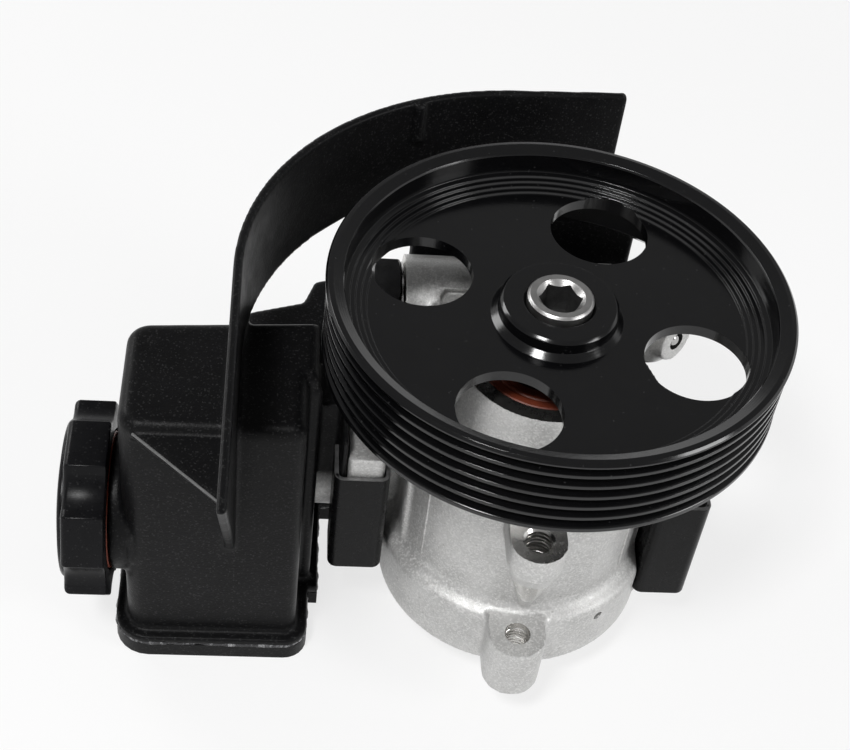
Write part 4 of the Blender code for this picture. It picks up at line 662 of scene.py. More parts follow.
def noise(tree, spot, size, detail=3.0, rough=0.5):
    return put(tree, "ShaderNodeTexNoise", {
        "Vector": spot, "Scale": 1 / size, "Detail": detail, "Roughness": rough}).outputs[0]


def ranged(tree, value, start, end, out_start, out_end):
    return put(tree, "ShaderNodeMapRange", {
        "Value": value, "From Min": start, "From Max": end, "To Min": out_start,
        "To Max": out_end}).outputs[0]


def between(tree, share, first, second):
    """Mixes two colours, each a socket or three numbers."""
    mix = tree.nodes.new("ShaderNodeMix")
    mix.data_type = "RGBA"
    tree.links.new(share, mix.inputs[0])
    for socket, colour in ((mix.inputs[6], first), (mix.inputs[7], second)):
        if isinstance(colour, bpy.types.NodeSocket):
            tree.links.new(colour, socket)
        else:
            socket.default_value = (*colour, 1)
    return mix.outputs[2]


def bumped(tree, height, strength, depth, under=None):
    bump = put(tree, "ShaderNodeBump", {
        "Height": height, "Strength": strength, "Distance": depth})
    if under:
        tree.links.new(under, bump.inputs["Normal"])
    return bump.outputs[0]


def finish(name, colour, roughness, metallic=0.0, mottle=0.12, mottle_size=0.009,
           grain=0.3, grain_size=0.0005, grain_depth=0.00004, polish=0.06, coat=0.0,
           level=0.5, marks=None, mark_depth=0.00002, scuff_and_glint=0.0, scuff_and_glint_from=0.62,
           scuff_and_glint_colour=None, painted_glints=0.0):
    """A finish with uneven colour, grain, uneven polish, turning marks, pale patches and pale dots.
    The patches are light wear on most finishes and painted glints on the weld flash; the dots are
    painted glints.

    marks is (axis, centre, spacing): grooves left by a tool round that axis. The last argument is
    the share of the surface with pale dots, painted glints that stand in for the sparkle of the
    grained skin.
    """
    made = bpy.data.materials.new(name)
    made.use_nodes = True
    tree = made.node_tree
    shader = tree.nodes["Principled BSDF"]
    shader.inputs["Metallic"].default_value = metallic
    shader.inputs["Specular IOR Level"].default_value = level
    if coat:
        shader.inputs["Coat Weight"].default_value = coat
        shader.inputs["Coat Roughness"].default_value = 0.06
    spot = coordinates(tree)
    colour = tuple(colour)
    dark = tuple(part * (1 - mottle) for part in colour)
    light = tuple(min(part * (1 + mottle), 1) for part in colour)
    cloud = ranged(tree, noise(tree, spot, mottle_size, 5, 0.6), 0.3, 0.7, 0, 1)
    tint = between(tree, cloud, dark, light)
    rough = ranged(tree, noise(tree, spot, mottle_size * 0.35, 4, 0.6), 0.3, 0.7,
                   max(roughness - polish, 0.03), roughness + polish)
    # Pale patches: light wear on most finishes, and painted glints on the weld flash.
    if scuff_and_glint:
        streaks = coordinates(tree, rotation=(0.3, 0.5, 0.2), scale=(1, 1, 0.12))
        patches = noise(tree, streaks, 0.0022, 6, 0.7)
        wear_and_glint = ranged(tree, patches, scuff_and_glint_from, scuff_and_glint_from + 0.18, 0, scuff_and_glint)
        pale = scuff_and_glint_colour or tuple(min(part * 2.2 + 0.02, 1) for part in colour)
        tint = between(tree, wear_and_glint, tint, pale)
        rough = sum_of(tree, "ADD", rough, sum_of(tree, "MULTIPLY", wear_and_glint, 0.25))
    # Pale dots: painted glints standing in for the sparkle of the grained skin.
    if painted_glints:
        cells = put(tree, "ShaderNodeTexVoronoi", {"Vector": spot, "Scale": 1 / 0.00036})
        chance = put(tree, "ShaderNodeSeparateColor", {"Color": cells.outputs["Color"]}).outputs[0]
        tint = between(tree, ranged(tree, chance, 1 - painted_glints, 1.0, 0.0, 1.0), tint,
                       tuple(part + 0.022 for part in colour))
    tree.links.new(tint, shader.inputs["Base Color"])
    tree.links.new(rough, shader.inputs["Roughness"])
    normal = bumped(tree, noise(tree, spot, grain_size, 3, 0.6), grain, grain_depth)
    if marks:
        axis, centre, spacing = marks
        turn = {"X": (0, math.pi / 2, 0), "Y": (math.pi / 2, 0, 0), "Z": (0, 0, 0)}[axis]
        back = Matrix.Rotation(math.pi / 2, 3, "Y") if axis == "X" else Matrix.Identity(3)
        shift = -(back @ Vector(centre))
        around = coordinates(tree, location=tuple(shift), rotation=turn)
        rings = put(tree, "ShaderNodeTexWave", {
            "Vector": around, "Scale": 0.314 / spacing, "Distortion": 0.4, "Detail": 2.0,
            "Detail Scale": 2.0}, wave_type="RINGS", rings_direction="Z")
        normal = bumped(tree, rings.outputs[1], 0.5, mark_depth, normal)
    tree.links.new(normal, shader.inputs["Normal"])
    return made


def cast_finish(name, colour):
    """Cast aluminium: sparkling grain, darker pores and a slightly uneven skin."""
    made = bpy.data.materials.new(name)
    made.use_nodes = True
    tree = made.node_tree
    shader = tree.nodes["Principled BSDF"]
    shader.inputs["Metallic"].default_value = 0.55
    spot = coordinates(tree)
    cells = put(tree, "ShaderNodeTexVoronoi", {"Vector": spot, "Scale": 1 / 0.00042})
    sparkle = put(tree, "ShaderNodeSeparateColor", {"Color": cells.outputs["Color"]}).outputs[0]
    cloud = ranged(tree, noise(tree, spot, 0.011, 5, 0.6), 0.3, 0.7, 0, 1)
    base = between(tree, cloud, tuple(part * 0.86 for part in colour),
                   tuple(min(part * 1.10, 1) for part in colour))
    glint = ranged(tree, sparkle, 0.45, 1.0, 0.0, 0.85)
    tint = between(tree, glint, base, tuple(min(part * 1.38, 1) for part in colour))
    pores = ranged(tree, noise(tree, spot, 0.0007, 3, 0.7), 0.60, 0.72, 0, 0.55)
    tint = between(tree, pores, tint, (0.16, 0.15, 0.135))
    tree.links.new(tint, shader.inputs["Base Color"])
    rough = ranged(tree, sparkle, 0, 1, 0.30, 0.60)
    tree.links.new(rough, shader.inputs["Roughness"])
    normal = bumped(tree, noise(tree, spot, 0.0004, 4, 0.65), 0.6, 0.00014)
    normal = bumped(tree, noise(tree, spot, 0.0035, 3, 0.5), 0.35, 0.0002, normal)
    tree.links.new(normal, shader.inputs["Normal"])
    return made


def make_finishes(colours):
    """Every finish of the part by its short name."""
    steel = tuple(colours.steel)
    z = (0, 0, 0)
    valve = (0, VALVE_Y, VALVE_Z)
    cap = (0, CAP_Y, CAP_Z)
    return {
        "paint": finish("pulley paint", colours.paint, 0.15, mottle=0.2, polish=0.03,
                        grain=0.10, grain_size=0.0011, grain_depth=0.00003, level=0.46,
                        marks=("Z", z, 0.0006), mark_depth=0.000004, painted_glints=0.004),
        "cast": cast_finish("cast skin", colours.aluminium),
        # painted shade: a dark grey for the faces of the ball's hole, standing in for the shade in
        # the gap round the ball
        "painted_hole_shade": finish("painted shade in the ball hole", (0.07, 0.07, 0.07), 0.5, 0.6, mottle=0.3,
                          mottle_size=0.002, grain=0.4, grain_size=0.0003),
        "machined": finish("machined aluminium", (0.70, 0.69, 0.67), 0.24, 1.0, mottle=0.06,
                           grain=0.1, marks=("Z", (EAR_X, EAR_Y, 0), 0.0003)),
        "bored": finish("bored aluminium", (0.62, 0.61, 0.59), 0.28, 1.0, mottle=0.08,
                        grain=0.12, marks=("Z", z, 0.0003)),
        # painted shade: the hex socket's walls and floor in a dark grey, for the shade inside the
        # deep socket
        "socket": finish("painted shade in the socket", (0.13, 0.13, 0.13), 0.42, 0.9, mottle=0.25,
                         mottle_size=0.002, grain=0.4, grain_size=0.0003),
        "shaft": finish("shaft steel", steel, 0.36, 1.0, mottle=0.10, mottle_size=0.004,
                        grain=0.15, grain_size=0.0003, marks=("Z", z, 0.00035)),
        "ground": finish("ground steel", (0.46, 0.46, 0.455), 0.18, 1.0, mottle=0.08,
                         mottle_size=0.005, grain=0.12, grain_size=0.0002,
                         grain_depth=0.00001, scuff_and_glint=0.3, scuff_and_glint_colour=(0.6, 0.6, 0.6)),
        "spring": finish("spring wire", (0.17, 0.17, 0.175), 0.32, 1.0, mottle=0.15,
                         mottle_size=0.003, grain=0.2, grain_size=0.0003),
        "sintered": finish("sintered iron", (0.20, 0.20, 0.20), 0.50, 0.9, mottle=0.22,
                           mottle_size=0.002, grain=0.6, grain_size=0.0002),
        "zinc": finish("zinc plate", (0.56, 0.56, 0.53), 0.30, 1.0, mottle=0.14,
                       mottle_size=0.004, grain=0.25, marks=("Z", z, 0.0008)),
        "fitting": finish("phosphated steel", (0.028, 0.028, 0.029), 0.38, 0.75, mottle=0.3,
                          mottle_size=0.003, grain=0.4, grain_size=0.0003,
                          marks=("X", valve, 0.0004), scuff_and_glint=0.35,
                          scuff_and_glint_colour=(0.14, 0.135, 0.13)),
        "washer": finish("bright washer steel", steel, 0.26, 1.0, mottle=0.10,
                         mottle_size=0.003, grain=0.2, marks=("X", valve, 0.0004)),
        "ball": finish("ball steel", steel, 0.14, 1.0, mottle=0.06, mottle_size=0.002,
                       grain=0.08),
        "bronze": finish("bush bronze", (0.50, 0.32, 0.14), 0.34, 1.0, mottle=0.14,
                         mottle_size=0.003, grain=0.2, marks=("Z", z, 0.0003)),
        "rubber": finish("black rubber", (0.012, 0.012, 0.012), 0.60, mottle=0.25,
                         mottle_size=0.002, grain=0.4, grain_size=0.0003),
        "seal": finish("seal rubber", colours.seal, 0.46, mottle=0.18, mottle_size=0.004,
                       grain=0.35, grain_size=0.0003, marks=("Z", z, 0.0005),
                       scuff_and_glint=0.25, scuff_and_glint_colour=(0.26, 0.09, 0.05)),
        "cap_seal": finish("cap seal rubber", colours.seal, 0.5, mottle=0.18,
                           mottle_size=0.003, grain=0.4, grain_size=0.0003,
                           marks=("X", cap, 0.0005)),
        "plastic": finish("moulded plastic", colours.plastic, 0.38, mottle=0.2,
                          mottle_size=0.014, grain=0.6, grain_size=0.0007,
                          grain_depth=0.00012, level=0.10, scuff_and_glint=0.22,
                          scuff_and_glint_colour=(0.018, 0.018, 0.019), painted_glints=0.12),
        # painted highlights: the bead is six times lighter than the plastic, with pale patches, for
        # the glints on the lumpy weld flash
        "flash": finish("weld flash", tuple(part * 6 for part in colours.plastic), 0.18,
                        mottle=0.4, mottle_size=0.003, grain=0.5, grain_size=0.0006,
                        scuff_and_glint=1.0, scuff_and_glint_from=0.50, scuff_and_glint_colour=(0.42, 0.42, 0.43)),
        # painted highlight: a light grey for the ridge along the gusset's front edge, for the light
        # that edge catches
        "parting": finish("parting line", (0.13, 0.13, 0.13), 0.45, mottle=0.25,
                          mottle_size=0.004, grain=0.4, grain_size=0.0004),
        "cap": finish("cap plastic", colours.cap, 0.30, mottle=0.15, mottle_size=0.008,
                      grain=0.35, grain_size=0.0004, grain_depth=0.00003, level=0.14,
                      scuff_and_glint=0.2, scuff_and_glint_colour=(0.018, 0.018, 0.019), painted_glints=0.05),
        "clip": finish("clip steel", colours.clip, 0.30, mottle=0.25, mottle_size=0.004,
                       grain=0.25, grain_size=0.0006, level=0.13, scuff_and_glint=0.35,
                       scuff_and_glint_colour=(0.02, 0.02, 0.02)),
        # painted highlight: the clips' top and bottom faces in a lighter grey, for the bright line
        # along the top edge
        "clip_edge": finish("painted highlight on the clip ends", (0.20, 0.20, 0.20), 0.40, 0.6, mottle=0.3,
                            mottle_size=0.002, grain=0.4, grain_size=0.0003),
    }


FINISHES = {}


def finish_named(name):
    if not FINISHES:
        FINISHES.update(make_finishes(bpy.context.scene.pump_colours))
    return FINISHES[name]


def wear(obj, *names):
    """Gives an object these finishes in its slots, the first on every face."""
    obj.data.materials.clear()
    for name in names:
        obj.data.materials.append(finish_named(name))
    return obj


def done(obj, body, slot, *nodes):
    """A finished piece rides on its body and stands for its CAD nodes."""
    if not obj.data.polygons:
        raise RuntimeError(f"{obj.name} has no faces")
    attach(obj, body)
    if nodes:
        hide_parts(*nodes)
    return obj


# Pulley
def pulley_profile(p):
    """The rim's outer side from front to rear, then the inside back to the front."""
    half = (p.pitch - 0.00096) / 2
    root_half = half - p.groove_depth * math.tan(math.radians(20))
    crest = p.radius - 0.00035
    root = crest - p.groove_depth
    front = PULLEY_FRONT
    rear = PULLEY_REAR
    points = [(0.0532, front - 0.0011), (p.radius - 0.0018, front),
              (p.radius - 0.0006, front - 0.0002), (p.radius, front - 0.0008),
              (p.radius, front - 0.0013)]
    for i in range(p.grooves):
        spot = front - 0.0014 - half - i * p.pitch
        points += [(crest, spot + half), (root, spot + root_half),
                   (root, spot - root_half), (crest, spot - half)]
    web_front = front - p.web_drop
    web_rear = web_front - p.web
    bore = SHAFT_R + 0.00005
    points += [
        (p.radius - 0.0001, rear + 0.0023), (p.radius - 0.0001, rear + 0.0012),
        (p.radius - 0.0014, rear), (0.0554, rear), (0.0522, rear + 0.0032),
        (0.052, web_rear - 0.0014), (0.0506, web_rear), (0.0155, web_rear),
        (0.0141, web_rear - 0.0012), (0.0137, web_rear - 0.0104), (bore, web_rear - 0.0104),
        (bore, web_front + p.hub_rise - 0.001), (bore + 0.00085, web_front + p.hub_rise),
        (p.hub - 0.0008, web_front + p.hub_rise), (p.hub, web_front + p.hub_rise - 0.0007),
        (p.hub + 0.0001, web_front + 0.0014), (p.hub + 0.0018, web_front),
    ]
    steps = 4
    width = 0.0014
    rise = 0.00065
    for i in range(steps):
        radius = 0.0525 - width * (steps - i)
        points += [(radius, web_front + i * rise), (radius + 0.0003, web_front + (i + 1) * rise)]
    points += [(0.0527, web_front + 0.0029), (0.0529, front - 0.0016)]
    return points


def make_pulley(p):
    paint = finish_named("paint")
    body = turned("pulley_body", pulley_profile(p), paint, 0.00022, p.steps)
    body.data.materials.clear()
    pulley = grown(
        "pulley_painted", body, drilling_tree, paint, Count=p.holes, Hole_Radius=p.hole,
        Circle_Radius=p.hole_circle, First_Angle=p.hole_angle,
        Height=PULLEY_FRONT - p.web_drop - p.web / 2, Depth=0.012)
    rounded_edges(pulley, 0.0003, 2, 60)
    done(wear(pulley, "paint"), "turning", "gloss black paint", "pulley")


# Shaft and what turns with it
def spline_outline(tip, root, teeth=10):
    points = []
    for i in range(teeth):
        for share, radius in ((-0.27, root), (-0.21, tip), (0.21, tip), (0.27, root)):
            angle = math.tau * (i + share) / teeth
            points.append((radius * math.cos(angle), radius * math.sin(angle)))
    return points


def make_shaft():
    neck = 0.0065
    front = SHAFT_FRONT
    shaft = turned("shaft_turned", [
        (0, SHAFT_TAIL), (neck - 0.0005, SHAFT_TAIL), (neck, SHAFT_TAIL + 0.0005),
        (neck, ROTOR_HIGH + 0.0005), (SHAFT_R, ROTOR_HIGH + 0.0014), (SHAFT_R, front - 0.0006),
        (SHAFT_R - 0.0006, front), (0, front),
    ], None, 0.00012, 96)
    teeth = plate("teeth", [spline_outline(0.0078, 0.0069)], SHAFT_TAIL + 0.0008,
                  ROTOR_HIGH + 0.0009)
    join(shaft, teeth)
    room = 0.00015
    groove = turned("groove", [
        (neck, SNAP_LOW - room), (SHAFT_R, SNAP_LOW - room),
        (SHAFT_R, SNAP_HIGH + room), (neck, SNAP_HIGH + room)], None, 0, 64)
    corner = 0.00475 / math.cos(math.pi / 6)
    depth = 0.009
    socket = plate("socket", [circle(corner, 6)], front - depth, front + 0.001)
    mouth = turned("mouth", [
        (0, front - 0.0016), (0.00445, front - 0.0016), (0.00655, front + 0.0005),
        (0, front + 0.0005)], None, 0, 64)
    cut(shaft, groove, socket, mouth)
    rounded_edges(shaft, 0.00012, 2, 30)
    wear(shaft, "shaft", "socket")
    # The socket's walls and floor get the dark grey, painted shade inside the recess.
    for face in shaft.data.polygons:
        inside = face.center.xy.length < corner + 0.0001
        if inside and front - depth - 0.0005 < face.center.z < front - 0.0013:
            face.material_index = 1
    done(shaft, "turning", "bright steel", "drive_shaft")


# Seal and bush in the nose
def make_seal():
    top = SEAL_HIGH
    lip = SHAFT_R + 0.00006
    seal = turned("lip_seal", [
        (SEAL_R, SEAL_LOW), (SEAL_R, top - 0.0004), (SEAL_R - 0.0004, top),
        (SEAL_R - 0.0022, top), (SEAL_R - 0.0028, top - 0.0008), (0.0150, top - 0.0009),
        (0.0146, top - 0.00055), (0.0139, top - 0.00055), (0.0135, top - 0.0009),
        (0.0112, top - 0.0008), (0.0102, top - 0.0002), (0.0089, top - 0.0001),
        (lip, top - 0.0008), (lip, top - 0.0014), (lip + 0.0014, SEAL_LOW),
    ], finish_named("seal"), 0.00022, 112)
    done(seal, "pump", "brown seal rubber", "shaft_seal")
    low_z = low("shaft_bush", 2)
    high_z = high("shaft_bush", 2)
    bush = turned("bronze_bush", [
        (BUSH_R - 0.0003, low_z), (BUSH_R, low_z + 0.0003), (BUSH_R, high_z - 0.0003),
        (BUSH_R - 0.0003, high_z), (lip + 0.0004, high_z), (lip, high_z - 0.0004),
        (lip, low_z + 0.0004), (lip + 0.0004, low_z),
    ], finish_named("bronze"), 0, 96)
    done(bush, "pump", "bronze", "shaft_bush")


# Housing
def stadium(x, y, radius, inner_y, steps=20):
    end = arc(radius, math.pi, math.tau, steps, (x, y))
    return end + [(x + radius, inner_y), (x - radius, inner_y)]


def ball_spot():
    """Where the passage cut by the drill opens on the valve boss's rounded end."""
    centre = Vector((VALVE_RIGHT - BOSS_ROUND, VALVE_Y, VALVE_Z))
    side = Vector((0, BALL_AXIS.y, BALL_AXIS.z)).normalized()
    return centre + side * (BOSS_R - BOSS_ROUND) + BALL_AXIS * BOSS_ROUND


def along(direction, spot):
    turn = Vector(direction).to_track_quat("Z", "Y").to_matrix().to_4x4()
    return Matrix.Translation(spot) @ turn


def housing_blank(h):
    """The casting before machining, a little proud where a face will be cut."""
    proud = 0.0006
    nose = h.nose
    barrel = h.barrel
    blank = turned("housing_casting", [
        (0, -proud), (h.ring - 0.0003, -proud), (h.ring, 0.0166), (h.ring - 0.0005, 0.0178),
        (barrel + 0.0018, 0.0192), (barrel + 0.0004, 0.0206), (barrel, 0.0222),
        (barrel, 0.0562), (barrel - 0.0009, 0.0577), (barrel - 0.0028, 0.0588),
        (0.0278, 0.0598), (0.0254, 0.0612), (nose + 0.001, 0.0657), (nose + 0.0003, 0.0707),
        (nose, h.length - 0.0005), (nose, h.length + proud), (0, h.length + proud),
    ], None, 0.0009, 144)
    clip_x = low("right_clip", 0) - SEAT
    cut(blank, block("clip_room", (clip_x, 0.06), (-0.05, high("right_clip", 1) + 0.0006),
                     (low("right_clip", 2) - SEAT, 0.0278)))
    inner = -barrel * 0.93
    ear = loft("ear", [
        (stadium(EAR_X + 0.0024, -0.0322, 0.0012, inner), 0.0195),
        (stadium(EAR_X, EAR_Y, 0.0072, inner), 0.050),
        (stadium(EAR_X, EAR_Y, 0.0073, inner), EAR_FACE + proud)])
    rear_ear = plate("rear_ear", [stadium(EAR_X, EAR_Y, 0.0077, inner)], REAR_EAR_Z - proud, 0.019)
    pieces = [ear, rear_ear]
    for side, reach in (("left", -0.0328), ("right", 0.0324)):
        pieces.append(block("pad_" + side, sorted((reach, reach * 0.6)), (-0.011, 0.014),
                            (0.012, 0.0552)))
    rails = (("left", LEFT_RAIL, low("left_clip", 1) + 0.0015, (0.009, 0.0535)),
             ("right", RIGHT_RAIL, low("right_clip", 1) + 0.0015, (0.006, 0.0465)))
    for side, ends, front, span in rails:
        outline = eased([(ends[0], front, 0.0016), (ends[1], front, 0.0016),
                         (ends[1], 0.0134, 0), (ends[0], 0.0134, 0)], 0, 5)
        pieces.append(plate("rail_" + side, [outline], *span))
        near = min(ends, key=abs)
        web = sorted((barrel * 0.94 * math.copysign(1, near), sum(ends) / 2))
        pieces.append(block("web_" + side, web, (0.0025, 0.0130),
                            (span[0] + 0.0015, span[1] - 0.0015)))
    pieces.append(rod("spigot", 0.0076, 0, sum(LEFT_RAIL) / 2 - SPIGOT_END,
                      at(SPIGOT_END, SPIGOT_Y, SPIGOT_Z, RIGHTWARDS)))
    reach = VALVE_RIGHT - VALVE_LEFT
    curve = arc(BOSS_ROUND, 0, math.pi / 2, 10, (h.valve_boss - BOSS_ROUND, reach - BOSS_ROUND))
    pieces.append(turned("valve_boss", [(0, -proud), (h.valve_boss, -proud)] + curve + [(0, reach)],
                         None, 0, 96, at(VALVE_LEFT, VALVE_Y, VALVE_Z, RIGHTWARDS)))
    pieces.append(block("valve_web", (-0.026, 0.029), (barrel * 0.6, VALVE_Y), (0.039, 0.060)))
    pieces.append(rod("ball_pad", 0.0064, -0.008, 0.0007, along(BALL_AXIS, ball_spot())))
    join(blank, *pieces)
    return cut(blank, block("pocket", (-0.0235, 0.023), (barrel + 0.001, VALVE_Y - 0.004),
                            (0.0585, 0.062)))


def machine_housing(housing, h):
    """Cuts the machined faces and bores with crisp edges, after the casting has its skin."""
    top = h.length
    pocket = SEAL_LOW - SEAT
    seal_r = SEAL_R + SEAT
    bush_r = BUSH_R + SEAT
    step = 0.0537
    slot = 0.0011
    ring_z = middle("end_retaining_ring").z
    bore = h.bore
    main = turned("main_bore", [
        (0, -0.002), (bore + 0.003, -0.002), (bore + 0.0018, 0), (bore, 0.0012),
        (bore, ring_z - slot), (bore + 0.0012, ring_z - slot),
        (bore + 0.0012, ring_z + slot), (bore, ring_z + slot), (bore, step),
        (bush_r, step), (bush_r, pocket), (seal_r, pocket),
        (seal_r, top - 0.0003), (seal_r + 0.0010, top + 0.0020), (0, top + 0.0020),
    ], None, 0, 144)
    t = h.thread
    threads = [
        turned("front_hole", [(0, -0.012), (t, -0.0105), (t, -0.0007), (t + 0.0012, 0.0005),
                              (t + 0.0012, 0.001), (0, 0.001)],
               None, 0, 48, at(EAR_X, EAR_Y, EAR_FACE)),
        rod("rear_hole", t, -0.001, 0.018, at(EAR_X, EAR_Y, REAR_EAR_Z), 48)]
    valve = turned("valve_bore", [
        (0, -0.002), (VALVE_BORE_R, -0.002), (VALVE_BORE_R, 0.0717), (0, 0.0732)],
        None, 0, 72, at(VALVE_LEFT, VALVE_Y, VALVE_Z, RIGHTWARDS))
    spigot = rod("spigot_bore", 0.0052, -0.001, LEFT_RAIL[0] - SPIGOT_END + 0.006,
                 at(SPIGOT_END, SPIGOT_Y, SPIGOT_Z, RIGHTWARDS), 48)
    spot = ball_spot()
    ball = rod("ball_hole", 0.00265, -0.0046, 0.002, along(BALL_AXIS, spot), 40)
    way = Vector((math.cos(RELEASE_ANGLE), math.sin(RELEASE_ANGLE), 0))
    release = rod("release_hole", 0.0014, 0, 0.012,
                  along(way, way * (bore - 0.001) + Vector((0, 0, ring_z))), 32)
    faces = [
        rod("nose_face", 0.03, top, top + 0.004),
        rod("rear_face", 0.05, -0.004, 0),
        rod("ear_face", 0.0098, EAR_FACE, EAR_FACE + 0.004, at(EAR_X, EAR_Y - 0.0006, 0)),
        rod("rear_ear_face", 0.0098, REAR_EAR_Z - 0.004, REAR_EAR_Z,
            at(EAR_X, EAR_Y - 0.0006, 0)),
        rod("valve_face", 0.018, -0.004, 0, at(VALVE_LEFT, VALVE_Y, VALVE_Z, RIGHTWARDS)),
        rod("spigot_face", 0.012, -0.004, 0, at(SPIGOT_END, SPIGOT_Y, SPIGOT_Z, RIGHTWARDS)),
    ]
    return cut(housing, main, valve, spigot, ball, release, *threads, *faces)


def mark_machined(housing, h):
    """Gives the cut faces their own finishes by where they lie, and the faces of the ball's hole a
    painted shade.
    """
    ear = Vector((EAR_X, EAR_Y))
    ball = ball_spot()
    near = 0.00005
    for face in housing.data.polygons:
        x, y, z = face.center
        normal = face.normal
        from_ball = face.center - ball
        # The faces of the ball's hole get a dark grey, painted shade for the gap round the ball.
        if from_ball.length < 0.006 and from_ball.cross(BALL_AXIS).length < 0.00275 \
                and abs(normal.dot(BALL_AXIS)) < 0.98:
            face.material_index = 3
            continue
        to_axis = math.hypot(x, y)
        near_ear = (Vector((x, y)) - ear).length
        across = math.hypot(y - VALVE_Y, z - VALVE_Z)
        flat = abs(normal.z) > 0.995
        if flat and near_ear < 0.0085 and min(abs(z - EAR_FACE), abs(z - REAR_EAR_Z)) < near:
            face.material_index = 1
        elif near_ear < h.thread + 0.0009 and abs(normal.z) < 0.9:
            face.material_index = 1
        elif flat and min(abs(z), abs(z - h.length)) < near:
            face.material_index = 2
        elif to_axis < h.bore + 0.0025 and z < 0.054 and abs(normal.z) < 0.999:
            face.material_index = 2
        elif to_axis < SEAL_R + 0.0016 and z > 0.05:
            face.material_index = 2
        elif across < VALVE_BORE_R + 0.0002:
            face.material_index = 2
        elif abs(normal.x) > 0.99 and x < VALVE_LEFT + 0.0001 and across < h.valve_boss:
            face.material_index = 2


def make_housing(h):
    housing = housing_blank(h)
    skinned(housing, h.cast_edge, 0.34)
    machine_housing(housing, h)
    wear(housing, "cast", "machined", "bored", "painted_hole_shade")
    mark_machined(housing, h)
    smooth(housing, 38)
    done(housing, "pump", "cast aluminium", "pump_housing")
    wire = 0.00026
    for name, bottom, top in (("ear_thread_front", EAR_FACE - 0.0105, EAR_FACE - 0.0012),
                              ("ear_thread_rear", REAR_EAR_Z + 0.0012, 0.0178)):
        rise = top - bottom
        thread = wound(name, finish_named("machined"), at(EAR_X, EAR_Y, bottom),
                       Radius=h.thread + 0.00012, Wire=wire, Turns=rise / h.thread_pitch,
                       Rise=rise, Steps=36, Sides=6)
        done(thread, "pump", "cast aluminium")
    spot = ball_spot() - BALL_AXIS * 0.00138
    swing = [(0.0023 * math.cos(a), 0.0023 * math.sin(a))
             for a in (-math.pi / 2 + math.pi * i / 24 for i in range(25))]
    swing[0] = (0, swing[0][1])
    swing[-1] = (0, swing[-1][1])
    ball = turned("passage_ball", swing, finish_named("ball"), 0, 48, along(BALL_AXIS, spot))
    done(ball, "pump", "bright steel", "ball_plug")


# Parting line of the casting, along both sides of the barrel and round the valve boss
def make_parting_line(h):
    radius = h.barrel + 0.00005
    places = []
    for angle in (math.radians(-38), math.radians(214)):
        x = radius * math.cos(angle)
        y = radius * math.sin(angle)
        points = [(x, y, 0.0225 + 0.0325 * i / 12) for i in range(13)]
        places.append(points)
    for i, points in enumerate(places):
        base = line_object(f"parting_{i + 1}", points, False)
        line = grown(f"casting_line_{i + 1}", base, bead_tree, finish_named("cast"),
                     Thickness=0.00032, Spacing=0.0014, Waver=0.5, Lump_Size=0.003, Sides=6,
                     Seed=5 + i)
        done(line, "pump", "cast aluminium")


# Rear closure
def make_rear_closure():
    bottom = low("end_cover", 2)
    top = high("end_cover", 2)
    rim = high("end_cover", 0)
    mid = middle("end_cover_oring").z
    cover = turned("cover_disc", [
        (0, bottom + 0.0015), (0.0040, bottom + 0.0015), (0.0046, bottom + 0.0010),
        (0.0058, bottom + 0.0010), (0.0064, bottom + 0.0015), (0.0200, bottom + 0.0015),
        (0.0215, bottom), (rim - 0.0004, bottom), (rim, bottom + 0.0004), (rim, mid - 0.0012),
        (0.0270, mid - 0.0012), (0.0270, mid + 0.0012), (rim, mid + 0.0012),
        (rim, top - 0.0004), (rim - 0.0004, top), (0, top),
    ], finish_named("zinc"), 0.00025, 128)
    done(cover, "pump", "zinc plated steel", "end_cover")
    ring_z = middle("end_retaining_ring").z
    turn = Matrix.Rotation(RELEASE_ANGLE + 0.5, 4, "Z")
    ring = wound("retaining_wire", finish_named("spring"), at(0, 0, ring_z, turn), Radius=0.0295,
                 Wire=0.0008, Turns=0.93, Rise=0.0, Steps=120, Sides=12)
    done(ring, "pump", "spring steel", "end_retaining_ring")
    spring_low = low("pressure_spring", 2)
    spring_high = high("pressure_spring", 2)
    wire = 0.0006
    spring = wound("plate_spring", finish_named("spring"), at(0, 0, spring_low + wire),
                   Radius=0.012, Wire=wire, Turns=1.75,
                   Rise=spring_high - spring_low - 2 * wire, Steps=64, Sides=12)
    done(spring, "pump", "spring steel", "pressure_spring")
    rings = (("end_cover_oring", None, 0.0009), ("outlet_oring", LEFTWARDS, 0.00075),
             ("suction_oring", LEFTWARDS, 0.0005))
    for node, turn, wire in rings:
        centre = middle(node)
        reach = (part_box(node)[1].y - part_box(node)[0].y) / 2 - wire
        section = [(reach + x, y) for x, y in circle(wire, 16)]
        ring = turned(node.replace("oring", "rubber_ring"), section, finish_named("rubber"), 0,
                      72, at(*centre, turn))
        done(ring, "pump", "black rubber", node)


